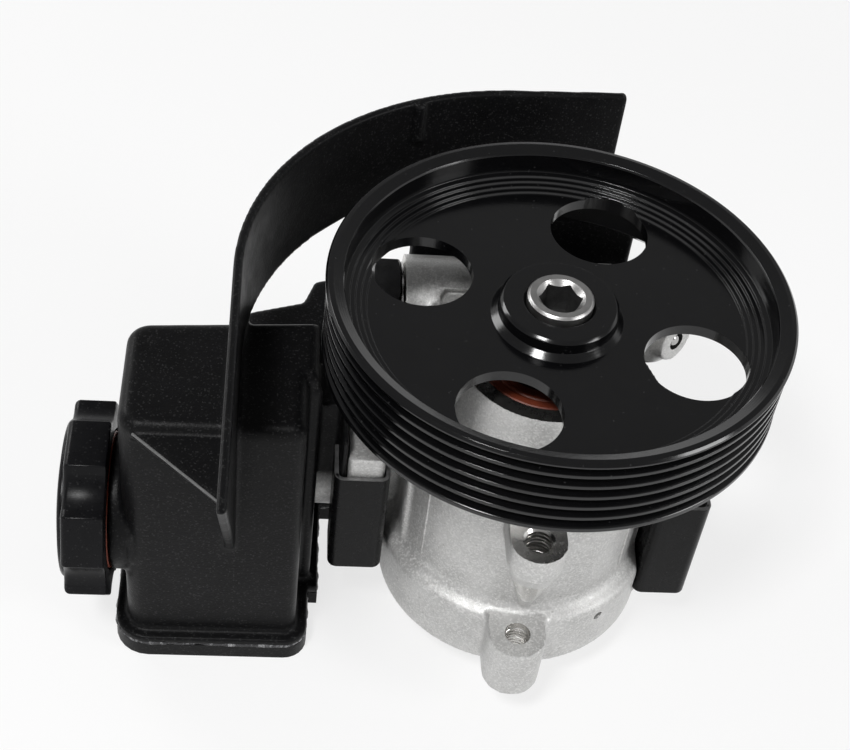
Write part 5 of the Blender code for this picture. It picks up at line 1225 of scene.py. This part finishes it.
# Flow valve and outlet
def make_outlet():
    place = at(HEX_FACE, VALVE_Y, VALVE_Z, LEFTWARDS)
    shank = VALVE_BORE_R - SEAT
    groove = -SHANK_LENGTH * 0.62
    floor = shank - 0.0017
    nose = HEX_LENGTH + 0.0082
    fitting = turned("outlet_turned", [
        (0, -SHANK_LENGTH), (shank - 0.0005, -SHANK_LENGTH), (shank, 0.0005 - SHANK_LENGTH),
        (shank, groove),
        (floor, groove), (floor, groove + 0.0024), (shank, groove + 0.0024), (shank, 0.0010),
        (0.0087, 0.0036), (0.0087, 0.0092), (0.0083, 0.0098), (0.0083, 0.0106),
        (0.0087, 0.0112), (0.0087, nose - 0.0008), (0.0079, nose), (0, nose),
    ], None, 0.00015, 80, place)
    corner = HEX_R / math.cos(math.pi / 6)
    hexagon = plate("hexagon", [circle(corner, 6, start=math.radians(15))], 0, HEX_LENGTH, place)
    barrel = turned("hex_chamfer", [
        (0, -0.0001), (corner - 0.0014, -0.0001), (corner + 0.0003, 0.0010),
        (corner + 0.0003, HEX_LENGTH - 0.0010), (corner - 0.0016, HEX_LENGTH + 0.0001),
        (0, HEX_LENGTH + 0.0001),
    ], None, 0, 80, place)
    shape(hexagon, "INTERSECT", barrel)
    join(fitting, hexagon)
    bore = turned("outlet_bore_cut", [
        (0, -0.012), (0.0046, -0.012), (0.0046, nose - 0.0012), (0.0062, nose + 0.0004),
        (0.0062, nose + 0.001), (0, nose + 0.001)], None, 0, 64, place)
    cut(fitting, bore)
    rounded_edges(fitting, 0.00015, 2, 40)
    done(wear(fitting, "fitting"), "pump", "phosphated steel", "outlet_fitting")
    washer = turned("outlet_washer_disc", [
        (shank + SEAT, 0.0001), (shank + 0.0005, 0), (0.0115, 0), (0.0118, 0.0002),
        (0.0118, 0.0007), (0.0115, 0.0009), (shank + 0.0005, 0.0009), (shank + SEAT, 0.0008),
    ], finish_named("washer"), 0, 80, at(VALVE_LEFT - SEAT, VALVE_Y, VALVE_Z, LEFTWARDS))
    done(washer, "pump", "bright steel", "outlet_washer")
    land = VALVE_BORE_R - 0.00015
    start = low("flow_valve_spool", 0)
    reach = high("flow_valve_spool", 0) - start
    rings = []
    for i in range(3):
        at_height = 0.0030 + 0.0022 * i
        rings += [(land, at_height), (land - 0.0003, at_height + 0.0002),
                  (land - 0.0003, at_height + 0.0006), (land, at_height + 0.0008)]
    spool = turned("valve_spool", [(0, 0), (land - 0.0006, 0), (land, 0.0006)] + rings + [
        (land, 0.010), (0.0058, 0.0105), (0.0058, reach - 0.0135), (land, reach - 0.013),
        (land, reach - 0.0004), (land - 0.0004, reach), (0, reach),
    ], finish_named("ground"), 0, 80, at(start, VALVE_Y, VALVE_Z, RIGHTWARDS))
    done(spool, "valve", "ground steel", "flow_valve_spool")
    lowest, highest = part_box("flow_valve_spring")
    wire = 0.0006
    spring = wound("valve_spring", finish_named("spring"),
                   at(lowest.x + wire, VALVE_Y, VALVE_Z, RIGHTWARDS),
                   Radius=(highest.z - lowest.z) / 2 - wire, Wire=wire, Turns=4.75,
                   Rise=highest.x - lowest.x - 2 * wire, Steps=40, Sides=10)
    done(spring, "pump", "spring steel", "flow_valve_spring")
    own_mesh(spring)


# Reservoir
def tank_plan():
    return [(TANK_LEFT, TANK_FRONT, 0.006), (TANK_RIGHT, TANK_FRONT, 0.003),
            (TANK_RIGHT, -0.006, 0), (TANK_STEP, -0.006, 0), (TANK_STEP, 0.0148, 0),
            (TANK_LEFT, 0.0112, 0.006)]


def low_plan(fine=1):
    """The foot's outline: the main tank with the low tank that wraps the housing's back."""
    start = math.pi - math.asin(0.025 / SADDLE_INNER_R)
    right = RIGHT_RAIL[1] + 0.0024
    corners = tank_plan()[:4] + [(TANK_STEP, 0.025, 0)]
    corners += [(x, y, 0) for x, y in arc(SADDLE_INNER_R, start, math.pi - start, 14 * fine)]
    corners += [(right, 0.025, 0), (right, 0.031, 0)]
    outer = arc(SADDLE_R, SADDLE_START, SADDLE_END, 12 * fine)
    corners += [(x, y, 0) for x, y in outer]
    corners += [(-0.062, 0.0385, 0), (-0.077, 0.0335, 0), (-0.0775, 0.012, 0),
                (TANK_LEFT, 0.009, 0.006)]
    return corners


def mid_plan():
    return [(-0.0775, 0.005, 0), (TANK_STEP - 0.0005, 0.005, 0), (TANK_STEP, 0.025, 0),
            (-0.053, 0.026, 0), (-0.053, 0.0485, 0.002), (-0.0585, 0.0465, 0),
            (-0.0615, 0.038, 0), (-0.0765, 0.033, 0.002)]


def upright():
    """Stands a plate drawn in (y, z) and extruded along x upright."""
    return Matrix(((0, 0, 1, 0), (1, 0, 0, 0), (0, 1, 0, 0), (0, 0, 0, 1)))


def fin_line(r):
    """The slope of the fin's edge, and the place along y where it passes the shield's foot."""
    lean = (r.shield_top - FIN_TIP) / (TANK_FRONT - SHIELD_FRONT)
    return lean, SHIELD_FRONT + (r.shield_top - SHIELD_FOOT) / lean


def make_shield(r):
    """The belt shield with its slanted fin, gusset and rib, as closed bodies."""
    rings = []
    for radius in (r.shield_radius, r.shield_radius - r.shield_wall):
        bend = arc(radius, math.pi, SHIELD_TURN, 84, (SHIELD_X, SHIELD_Y))
        last = Vector(bend[-1])
        way = Vector((math.sin(SHIELD_TURN), -math.cos(SHIELD_TURN)))
        end = last + way * (SHIELD_END - last.x) / way.x
        rings.append([(SHIELD_X - radius, SHIELD_FRONT)] + bend + [(end.x, end.y)])
    top = r.shield_top
    wall = plate("shield", [rings[0] + rings[1][::-1]], SHIELD_FOOT, top)
    outer_x = SHIELD_X - r.shield_radius
    lean, foot_y = fin_line(r)
    back = TANK_FRONT + 0.001
    fin = plate("fin", [[(foot_y - 0.001, SHIELD_FOOT + 0.0014), (back, FIN_TIP - 0.0015),
                         (back, SHIELD_FOOT + 0.0014)]],
                outer_x, outer_x + r.shield_wall, upright())
    join(wall, fin)
    below = FIN_TIP - 0.03
    trim = plate("trim", [[(SHIELD_FRONT - 0.02, top + 0.02 * lean),
                           (SHIELD_FRONT - 0.05, below), (TANK_FRONT + 0.03 / lean, below)]],
                 outer_x - 0.01, outer_x + 0.01, upright())
    corner = 0.0016
    round_x = SHIELD_END - corner
    sweep = arc(corner, 0, math.pi / 2, 8, (round_x, top - corner))
    nip = plate("nip", [sweep + [(round_x, top + 0.002), (SHIELD_END + 0.002, top + 0.002),
                                 (SHIELD_END + 0.002, top - corner)]],
                -0.09, -0.06, Matrix.Rotation(math.pi / 2, 4, "X"))
    cut(wall, trim, nip)
    gusset_x = outer_x + 0.0008
    gusset = plate("gusset", [[(GUSSET_LEFT, back), (GUSSET_LEFT, TANK_FRONT),
                               (gusset_x, foot_y + GUSSET_BACK), (gusset_x, back)]],
                   r.top - 0.0047, r.top - 0.0027)
    rib_r = r.shield_radius - r.shield_wall
    rib = block("rib", (rib_r - 0.0014, rib_r + r.shield_wall / 2), (-0.00125, 0.00125),
                (top - 0.013, top - 0.0006),
                at(SHIELD_X, SHIELD_Y, 0, Matrix.Rotation(RIB_ANGLE, 4, "Z")))
    return wall, gusset, rib


def make_tank(r):
    edge = 0.0034
    plan = tank_plan()
    sections = [(0, TANK_FOOT), (0, r.top - edge)]
    for i in range(1, 7):
        angle = math.pi / 12 * i
        sections.append((-edge * (1 - math.cos(angle)), r.top - edge + edge * math.sin(angle)))
    tank = loft("reservoir_moulding", [(eased(offset(plan, out), 0, 8), z) for out, z in sections])
    foot = FLANGE_REAR
    wall = r.wall
    low_fine = low_plan(3)
    flange = eased(offset(low_fine, r.flange - 1.2 * r.flash), 0, 6)
    join(tank,
         plate("low_tank", [eased(low_fine, 0, 6)], foot + 0.001, SADDLE_TOP),
         plate("mid_tank", [eased(mid_plan(), 0, 6)], TANK_FOOT + 0.004, MID_TOP),
         plate("flange", [flange], foot, TANK_FOOT))
    cut(tank,
        plate("main_hollow", [eased(offset(plan, -wall), 0, 6)], foot - 0.005, r.top - wall),
        plate("low_hollow", [eased(offset(low_fine, -wall), 0, 6)], foot - 0.004,
              SADDLE_TOP - wall),
        plate("mid_hollow", [eased(offset(mid_plan(), -wall), 0, 6)], foot - 0.003,
              MID_TOP - wall))
    flange_x = LEFT_RAIL[0] - SEAT
    front = low("left_clip", 1) + 0.0015
    clamp_back = SPIGOT_Y - 0.0079
    arm_x = RIGHT_RAIL[1] + SEAT
    right_front = low("right_clip", 1) + 0.0015
    pieces = [
        plate("left_clamp", [eased([
            (flange_x - 0.0015, front, 0.0014), (flange_x, front, 0), (flange_x, clamp_back, 0),
            (flange_x - 0.0015, clamp_back, 0)], 0, 5)], 0.012, 0.060),
        block("bridge", (TANK_STEP - 0.001, flange_x), (-0.0018, 0.0134), (0.0345, 0.061)),
        block("bridge_root", (flange_x - 0.0013, flange_x - 0.0002), (clamp_back - 0.002, -0.0008),
              (0.0347, 0.0598)),
        plate("right_clamp", [eased([
            (arm_x, right_front, 0), (arm_x + 0.0015, right_front, 0.0014),
            (arm_x + 0.0015, 0.029, 0), (arm_x, 0.029, 0)], 0, 5)],
            low("right_clip", 2) + 0.002, SADDLE_TOP - 0.0005),
        rod("side_rib", 0.0016, TANK_FOOT + 0.001, r.top - edge - 0.002,
            at(TANK_STEP - 0.0006, -0.0054, 0), 32),
    ]
    wall_ring = arc(SADDLE_R, SADDLE_START, BACK_WALL_END, 32)
    wall_ring += arc(SADDLE_R - wall, BACK_WALL_END, SADDLE_START, 32)
    pieces.append(plate("back_wall", [wall_ring], SADDLE_TOP - 0.001, BACK_WALL_TOP))
    neck_place = at(TANK_LEFT, CAP_Y, CAP_Z, LEFTWARDS)
    mouth = COLLAR + NECK_LENGTH
    pieces.append(turned("neck", [
        (0.0106, -wall / 2), (COLLAR_R, -wall / 2), (COLLAR_R, COLLAR), (NECK_R, COLLAR),
        (NECK_R, mouth - 0.0005), (NECK_R - 0.0005, mouth), (0.0106, mouth)],
        None, 0, 96, neck_place))
    join(tank, *pieces, *make_shield(r))
    return cut(tank,
               rod("neck_bore", 0.0126, -2 * wall, 0.02, neck_place, 72),
               rod("spigot_hole", 0.0091, -0.004, 0.006,
                   at(TANK_STEP, SPIGOT_Y, SPIGOT_Z, RIGHTWARDS), 64))


def make_reservoir(r):
    tank = make_tank(r)
    skinned(tank, r.moulded_edge, 0.32)
    done(wear(tank, "plastic"), "pump", "moulded black plastic", "reservoir")
    outline = [(x, y, FLANGE_REAR + 0.0001) for x, y in
               eased(offset(low_plan(3), r.flange - 1.9 * r.flash), 0, 6)]
    # The bead's light colour and pale patches are painted glints.
    flash = grown("weld_flash", line_object("flash", outline, True), bead_tree,
                  finish_named("flash"), Thickness=r.flash, Spacing=0.0008, Waver=1.4,
                  Lump_Size=0.003, Sides=8, Seed=11)
    done(flash, "pump", "moulded black plastic")
    # A real ridge along the gusset's front edge, coloured light grey as a painted highlight of that
    # edge.
    seam_z = r.top - 0.0028
    edge = [(GUSSET_LEFT + 0.0005, TANK_FRONT - 0.0001, seam_z),
            (SHIELD_X - r.shield_radius + 0.0004, fin_line(r)[1] + GUSSET_BACK, seam_z)]
    seam = grown("gusset_seam", line_object("seam", edge, False), bead_tree,
                 finish_named("parting"), Thickness=0.00034, Spacing=0.0016, Waver=0.25,
                 Lump_Size=0.006, Sides=8, Seed=4)
    done(seam, "pump", "moulded black plastic")
    neck = wound("neck_thread", finish_named("plastic"),
                 at(NECK_X - 0.0012, CAP_Y, CAP_Z, LEFTWARDS), Radius=0.01555, Wire=0.0003,
                 Turns=1.2, Rise=0.0045, Steps=96, Sides=8)
    done(neck, "pump", "moulded black plastic")


def make_base(r):
    outline = eased(offset(low_plan(3), r.flange - 1.2 * r.flash), 0, 6)
    bottom = low("reservoir_base", 2)
    top = high("reservoir_base", 2)
    base = plate("base_moulding", [outline], bottom, top)
    cut(base, plate("pan", [eased(offset(low_plan(3), -r.wall), 0, 6)], bottom + 0.0024,
                    top + 0.001))
    rounded_edges(base, 0.0006, 3, 50)
    done(wear(base, "plastic"), "pump", "moulded black plastic", "reservoir_base")


# Filler cap
def cap_outline(c, inset=0.0):
    """Flat-faced lugs with a hollow scallop between each pair."""
    points = []
    pitch = math.tau / c.lugs
    half = math.radians(15.5)
    radius = c.radius - inset
    for i in range(c.lugs):
        spot = math.radians(53.5) + pitch / 2 + i * pitch
        points += [(spot - half, radius), (spot + half, radius)]
        gap = pitch - 2 * half
        for k in range(1, 12):
            share = 0.14 + 0.72 * (k - 1) / 10
            bow = 1 - (2 * share - 1) ** 2
            points.append((spot + half + gap * share, radius - c.scallop * bow - 0.0006))
    turned_round = [(r * math.sin(a), -r * math.cos(a)) for a, r in points]
    return eased(turned_round, 0.0006, 3)


def make_cap(c):
    place = at(CAP_X, CAP_Y, CAP_Z, LEFTWARDS)
    height = c.height
    seal = high("cap_seal", 0) - CAP_X
    skirt = 0.0001 - seal
    sections = [(0.0005, skirt), (0.00015, skirt + 0.00015), (0, skirt + 0.0005),
                (0, height - 0.0014), (0.0002, height - 0.0008), (0.0007, height - 0.00025),
                (0.0014, height)]
    cap = loft("cap_moulding", [(cap_outline(c, inset), z) for inset, z in sections], place)
    top = height + c.dome
    disc = 0.021
    dome = turned("disc", [
        (0, height / 2), (disc, height / 2), (disc, top - 0.0022), (disc - 0.0006, top - 0.0015),
        (disc * 0.86, top - 0.0012), (disc * 0.84, top - 0.0015), (disc * 0.80, top - 0.0013),
        (disc * 0.72, top - 0.0007), (disc * 0.38, top - 0.0001), (0, top),
    ], None, 0.0006, 112, place)
    join(cap, dome)
    depth = COLLAR + NECK_LENGTH - (TANK_LEFT - CAP_X) + SEAT
    cut(cap, rod("well", 0.016, -0.001, depth, place, 80),
        rod("seal_room", 0.0190, skirt - 0.001, 0, place, 80))
    smooth(cap, 32)
    done(wear(cap, "cap"), "cap", "cap plastic", "filler_cap")
    thread = wound("cap_thread", finish_named("cap"), at(CAP_X - 0.0008, CAP_Y, CAP_Z, LEFTWARDS),
                   Radius=0.01605, Wire=0.00022, Turns=1.1, Rise=c.thread_pitch * 1.1, Steps=96,
                   Sides=8)
    done(thread, "cap", "cap plastic")
    seal_low = low("cap_seal", 0)
    seal_high = high("cap_seal", 0)
    thick = seal_high - seal_low
    seal = turned("cap_seal_ring", [
        (0.016, 0.0001), (0.0161, 0), (0.0180, 0), (0.0182, 0.0002), (0.0182, thick - 0.0002),
        (0.0180, thick), (0.0161, thick), (0.016, thick - 0.0001),
    ], finish_named("cap_seal"), 0, 96, at(seal_high, CAP_Y, CAP_Z, LEFTWARDS))
    done(seal, "seal_ring", "brown seal rubber", "cap_seal")


# Clips
CLIP_SHEET = 0.0012


def clip_outline(width, depth, thickness):
    half = width / 2
    inner = half - thickness
    bend = 0.0026
    outer = eased([(-half, depth, 0), (-half, 0, bend), (half, 0, bend), (half, depth, 0)], 0, 10)
    inside = eased([(inner, depth, 0), (inner, thickness, bend - thickness),
                    (-inner, thickness, bend - thickness), (-inner, depth, 0)], 0, 10)
    return outer + inside


def make_clips():
    for side in ("left", "right"):
        node = side + "_clip"
        lowest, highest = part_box(node)
        outline = clip_outline(highest.x - lowest.x, highest.y - lowest.y, CLIP_SHEET)
        clip = plate(side + "_clip_bent", [outline], 0, highest.z - lowest.z,
                     at((lowest.x + highest.x) / 2, lowest.y, lowest.z))
        rounded_edges(clip, 0.00022, 2, 50)
        wear(clip, "clip", "clip_edge")
        # The top and bottom faces get the lighter grey, a painted highlight of the clip's edge.
        for face in clip.data.polygons:
            if abs(face.normal.z) > 0.6:
                face.material_index = 1
        done(clip, "pump", "black clip steel", node)


# Pieces whose solids keep their shape and get a finish
def dress_inner_pieces():
    finishes = {
        "rotor": "ground", "cam_ring": "ground", "thrust_plate": "sintered",
        "pressure_plate": "sintered", "dowel_pin_a": "ground", "dowel_pin_b": "ground",
        "shaft_snap_ring": "spring",
    }
    for i in range(1, 11):
        finishes[f"vane_{i:02d}"] = "ground"
    for node, name in finishes.items():
        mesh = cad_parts[node].data
        mesh.materials.clear()
        mesh.materials.append(finish_named(name))


# Stage
def seen(tree):
    """One where a ray comes from the camera, a gloss or a clear body, else none."""
    rays = tree.nodes.new("ShaderNodeLightPath")
    straight = sum_of(tree, "MAXIMUM", rays.outputs["Is Camera Ray"],
                      rays.outputs["Is Glossy Ray"])
    return sum_of(tree, "MAXIMUM", straight, rays.outputs["Is Transmission Ray"])


def make_stage(colours):
    scene = bpy.context.scene
    world = bpy.data.worlds.new("studio")
    scene.world = world
    world.use_nodes = True
    back = world.node_tree.nodes["Background"]
    back.inputs["Color"].default_value = (1, 1, 1, 1)
    back.inputs["Strength"].default_value = SKY_STRENGTH
    floor_z = CAD_BOX[0][2] - 0.0002
    floor = block("studio_floor", (-3, 3), (-3, 3), (floor_z - 0.01, floor_z))
    backdrop = turned("studio_backdrop", [
        (2.9, floor_z + 0.001), (2.9, floor_z + 1.1), (2.91, floor_z + 1.1),
        (2.91, floor_z + 0.001)], None, 0, 96)
    pale = bpy.data.materials.new("studio floor")
    pale.use_nodes = True
    tree = pale.node_tree
    shader = tree.nodes["Principled BSDF"]
    shader.inputs["Base Color"].default_value = (*colours.floor, 1)
    shader.inputs["Roughness"].default_value = 0.9
    glow = put(tree, "ShaderNodeEmission", {"Color": (1, 1, 1, 1), "Strength": 1.0})
    place = tree.nodes.new("ShaderNodeTexCoord").outputs["Object"]
    away = put(tree, "ShaderNodeVectorMath", {0: place}, operation="LENGTH").outputs["Value"]
    share = sum_of(tree, "MULTIPLY", seen(tree), ranged(tree, away, 0.3, 1.1, 0.74, 1.0))
    mixed = tree.nodes.new("ShaderNodeMixShader")
    tree.links.new(share, mixed.inputs[0])
    tree.links.new(shader.outputs[0], mixed.inputs[1])
    tree.links.new(glow.outputs[0], mixed.inputs[2])
    tree.links.new(mixed.outputs[0], tree.nodes["Material Output"].inputs["Surface"])
    for piece in (floor, backdrop):
        piece.data.materials.clear()
        piece.data.materials.append(pale)
    for name, spot, size, power in LAMPS:
        lamp = bpy.data.lights.new(name, "AREA")
        lamp.energy = power
        lamp.size = size
        light = bpy.data.objects.new(name, lamp)
        scene.collection.objects.link(light)
        aim = (LIT_POINT - Vector(spot)).to_track_quat("-Z", "Y").to_matrix().to_4x4()
        light.matrix_world = Matrix.Translation(spot) @ aim
    lens = bpy.data.cameras.new("camera")
    lens.lens = CAMERA_LENS
    lens.sensor_width = 36
    lens.clip_start = 0.01
    camera = bpy.data.objects.new("camera", lens)
    scene.collection.objects.link(camera)
    ahead = CAMERA_RIGHT.cross(CAMERA_DOWN)
    turn = Matrix((CAMERA_RIGHT, -CAMERA_DOWN, -ahead)).transposed().to_4x4()
    camera.matrix_world = Matrix.Translation(CAMERA_PLACE) @ turn
    scene.camera = camera
    scene.view_settings.view_transform = "Standard"


# Operators
class PUMP_OT_pulley(bpy.types.Operator):
    """Turns the belt pulley and drills its holes"""
    bl_idname = "pump.pulley"
    bl_label = "Belt pulley"

    def execute(self, context):
        make_pulley(context.scene.pump_pulley)
        return {"FINISHED"}


class PUMP_OT_shaft(bpy.types.Operator):
    """Makes the drive shaft with its socket and spline"""
    bl_idname = "pump.shaft"
    bl_label = "Drive shaft"

    def execute(self, context):
        make_shaft()
        return {"FINISHED"}


class PUMP_OT_seal(bpy.types.Operator):
    """Makes the lip seal and the bush in the nose"""
    bl_idname = "pump.seal"
    bl_label = "Seal and bush"

    def execute(self, context):
        make_seal()
        return {"FINISHED"}


class PUMP_OT_housing(bpy.types.Operator):
    """Casts and machines the housing, with its threads, ball and casting lines"""
    bl_idname = "pump.housing"
    bl_label = "Cast housing"

    def execute(self, context):
        make_housing(context.scene.pump_housing)
        make_parting_line(context.scene.pump_housing)
        return {"FINISHED"}


class PUMP_OT_rear_closure(bpy.types.Operator):
    """Makes the end cover, its wire ring, the plate's spring and the rubber rings"""
    bl_idname = "pump.rear_closure"
    bl_label = "Rear closure"

    def execute(self, context):
        make_rear_closure()
        return {"FINISHED"}


class PUMP_OT_outlet(bpy.types.Operator):
    """Makes the outlet fitting, its washer and the flow valve's spool"""
    bl_idname = "pump.outlet"
    bl_label = "Outlet and flow valve"

    def execute(self, context):
        make_outlet()
        return {"FINISHED"}


class PUMP_OT_reservoir(bpy.types.Operator):
    """Moulds the reservoir with its belt shield, neck and weld flash"""
    bl_idname = "pump.reservoir"
    bl_label = "Reservoir"

    def execute(self, context):
        make_reservoir(context.scene.pump_reservoir)
        make_base(context.scene.pump_reservoir)
        return {"FINISHED"}


class PUMP_OT_cap(bpy.types.Operator):
    """Makes the filler cap with its lugs, thread and seal ring"""
    bl_idname = "pump.cap"
    bl_label = "Filler cap"

    def execute(self, context):
        make_cap(context.scene.pump_cap)
        return {"FINISHED"}


class PUMP_OT_clips(bpy.types.Operator):
    """Bends the two clips"""
    bl_idname = "pump.clips"
    bl_label = "Clips"

    def execute(self, context):
        make_clips()
        return {"FINISHED"}


class PUMP_OT_inner_pieces(bpy.types.Operator):
    """Gives the vane cartridge and the pieces inside their finishes"""
    bl_idname = "pump.inner_pieces"
    bl_label = "Inner pieces"

    def execute(self, context):
        dress_inner_pieces()
        return {"FINISHED"}


class PUMP_OT_stage(bpy.types.Operator):
    """Sets up the floor, the lights and the camera"""
    bl_idname = "pump.stage"
    bl_label = "Studio"

    def execute(self, context):
        make_stage(context.scene.pump_colours)
        return {"FINISHED"}


class PUMP_PT_panel(bpy.types.Panel):
    """Lists the sizes, the colours and the pieces"""
    bl_idname = "PUMP_PT_panel"
    bl_label = "Power steering pump"
    bl_space_type = "VIEW_3D"
    bl_region_type = "UI"
    bl_category = "Pump"

    def draw(self, context):
        for operator in OPERATORS:
            self.layout.operator(operator.bl_idname)
        for key, group in GROUPS.items():
            box = self.layout.box()
            settings = getattr(context.scene, key)
            for prop in group.__annotations__:
                box.prop(settings, prop)


GROUPS = {
    "pump_pulley": PumpPulleySizes, "pump_housing": PumpHousingSizes,
    "pump_reservoir": PumpReservoirSizes, "pump_cap": PumpCapSizes, "pump_colours": PumpColours,
}
OPERATORS = (
    PUMP_OT_pulley, PUMP_OT_shaft, PUMP_OT_seal, PUMP_OT_housing, PUMP_OT_rear_closure,
    PUMP_OT_outlet, PUMP_OT_reservoir, PUMP_OT_cap, PUMP_OT_clips, PUMP_OT_inner_pieces,
    PUMP_OT_stage,
)


def register():
    for group in GROUPS.values():
        bpy.utils.register_class(group)
    for key, group in GROUPS.items():
        setattr(bpy.types.Scene, key, bpy.props.PointerProperty(type=group))
    for operator in OPERATORS:
        bpy.utils.register_class(operator)
    bpy.utils.register_class(PUMP_PT_panel)


def unregister():
    bpy.utils.unregister_class(PUMP_PT_panel)
    for operator in reversed(OPERATORS):
        bpy.utils.unregister_class(operator)
    for key in GROUPS:
        delattr(bpy.types.Scene, key)
    for group in reversed(list(GROUPS.values())):
        bpy.utils.unregister_class(group)


def main():
    """Builds every piece and the studio."""
    register()
    bpy.ops.pump.pulley()
    bpy.ops.pump.shaft()
    bpy.ops.pump.seal()
    bpy.ops.pump.housing()
    bpy.ops.pump.rear_closure()
    bpy.ops.pump.outlet()
    bpy.ops.pump.reservoir()
    bpy.ops.pump.cap()
    bpy.ops.pump.clips()
    bpy.ops.pump.inner_pieces()
    bpy.ops.pump.stage()
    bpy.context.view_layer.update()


if __name__ == "__main__":
    main()
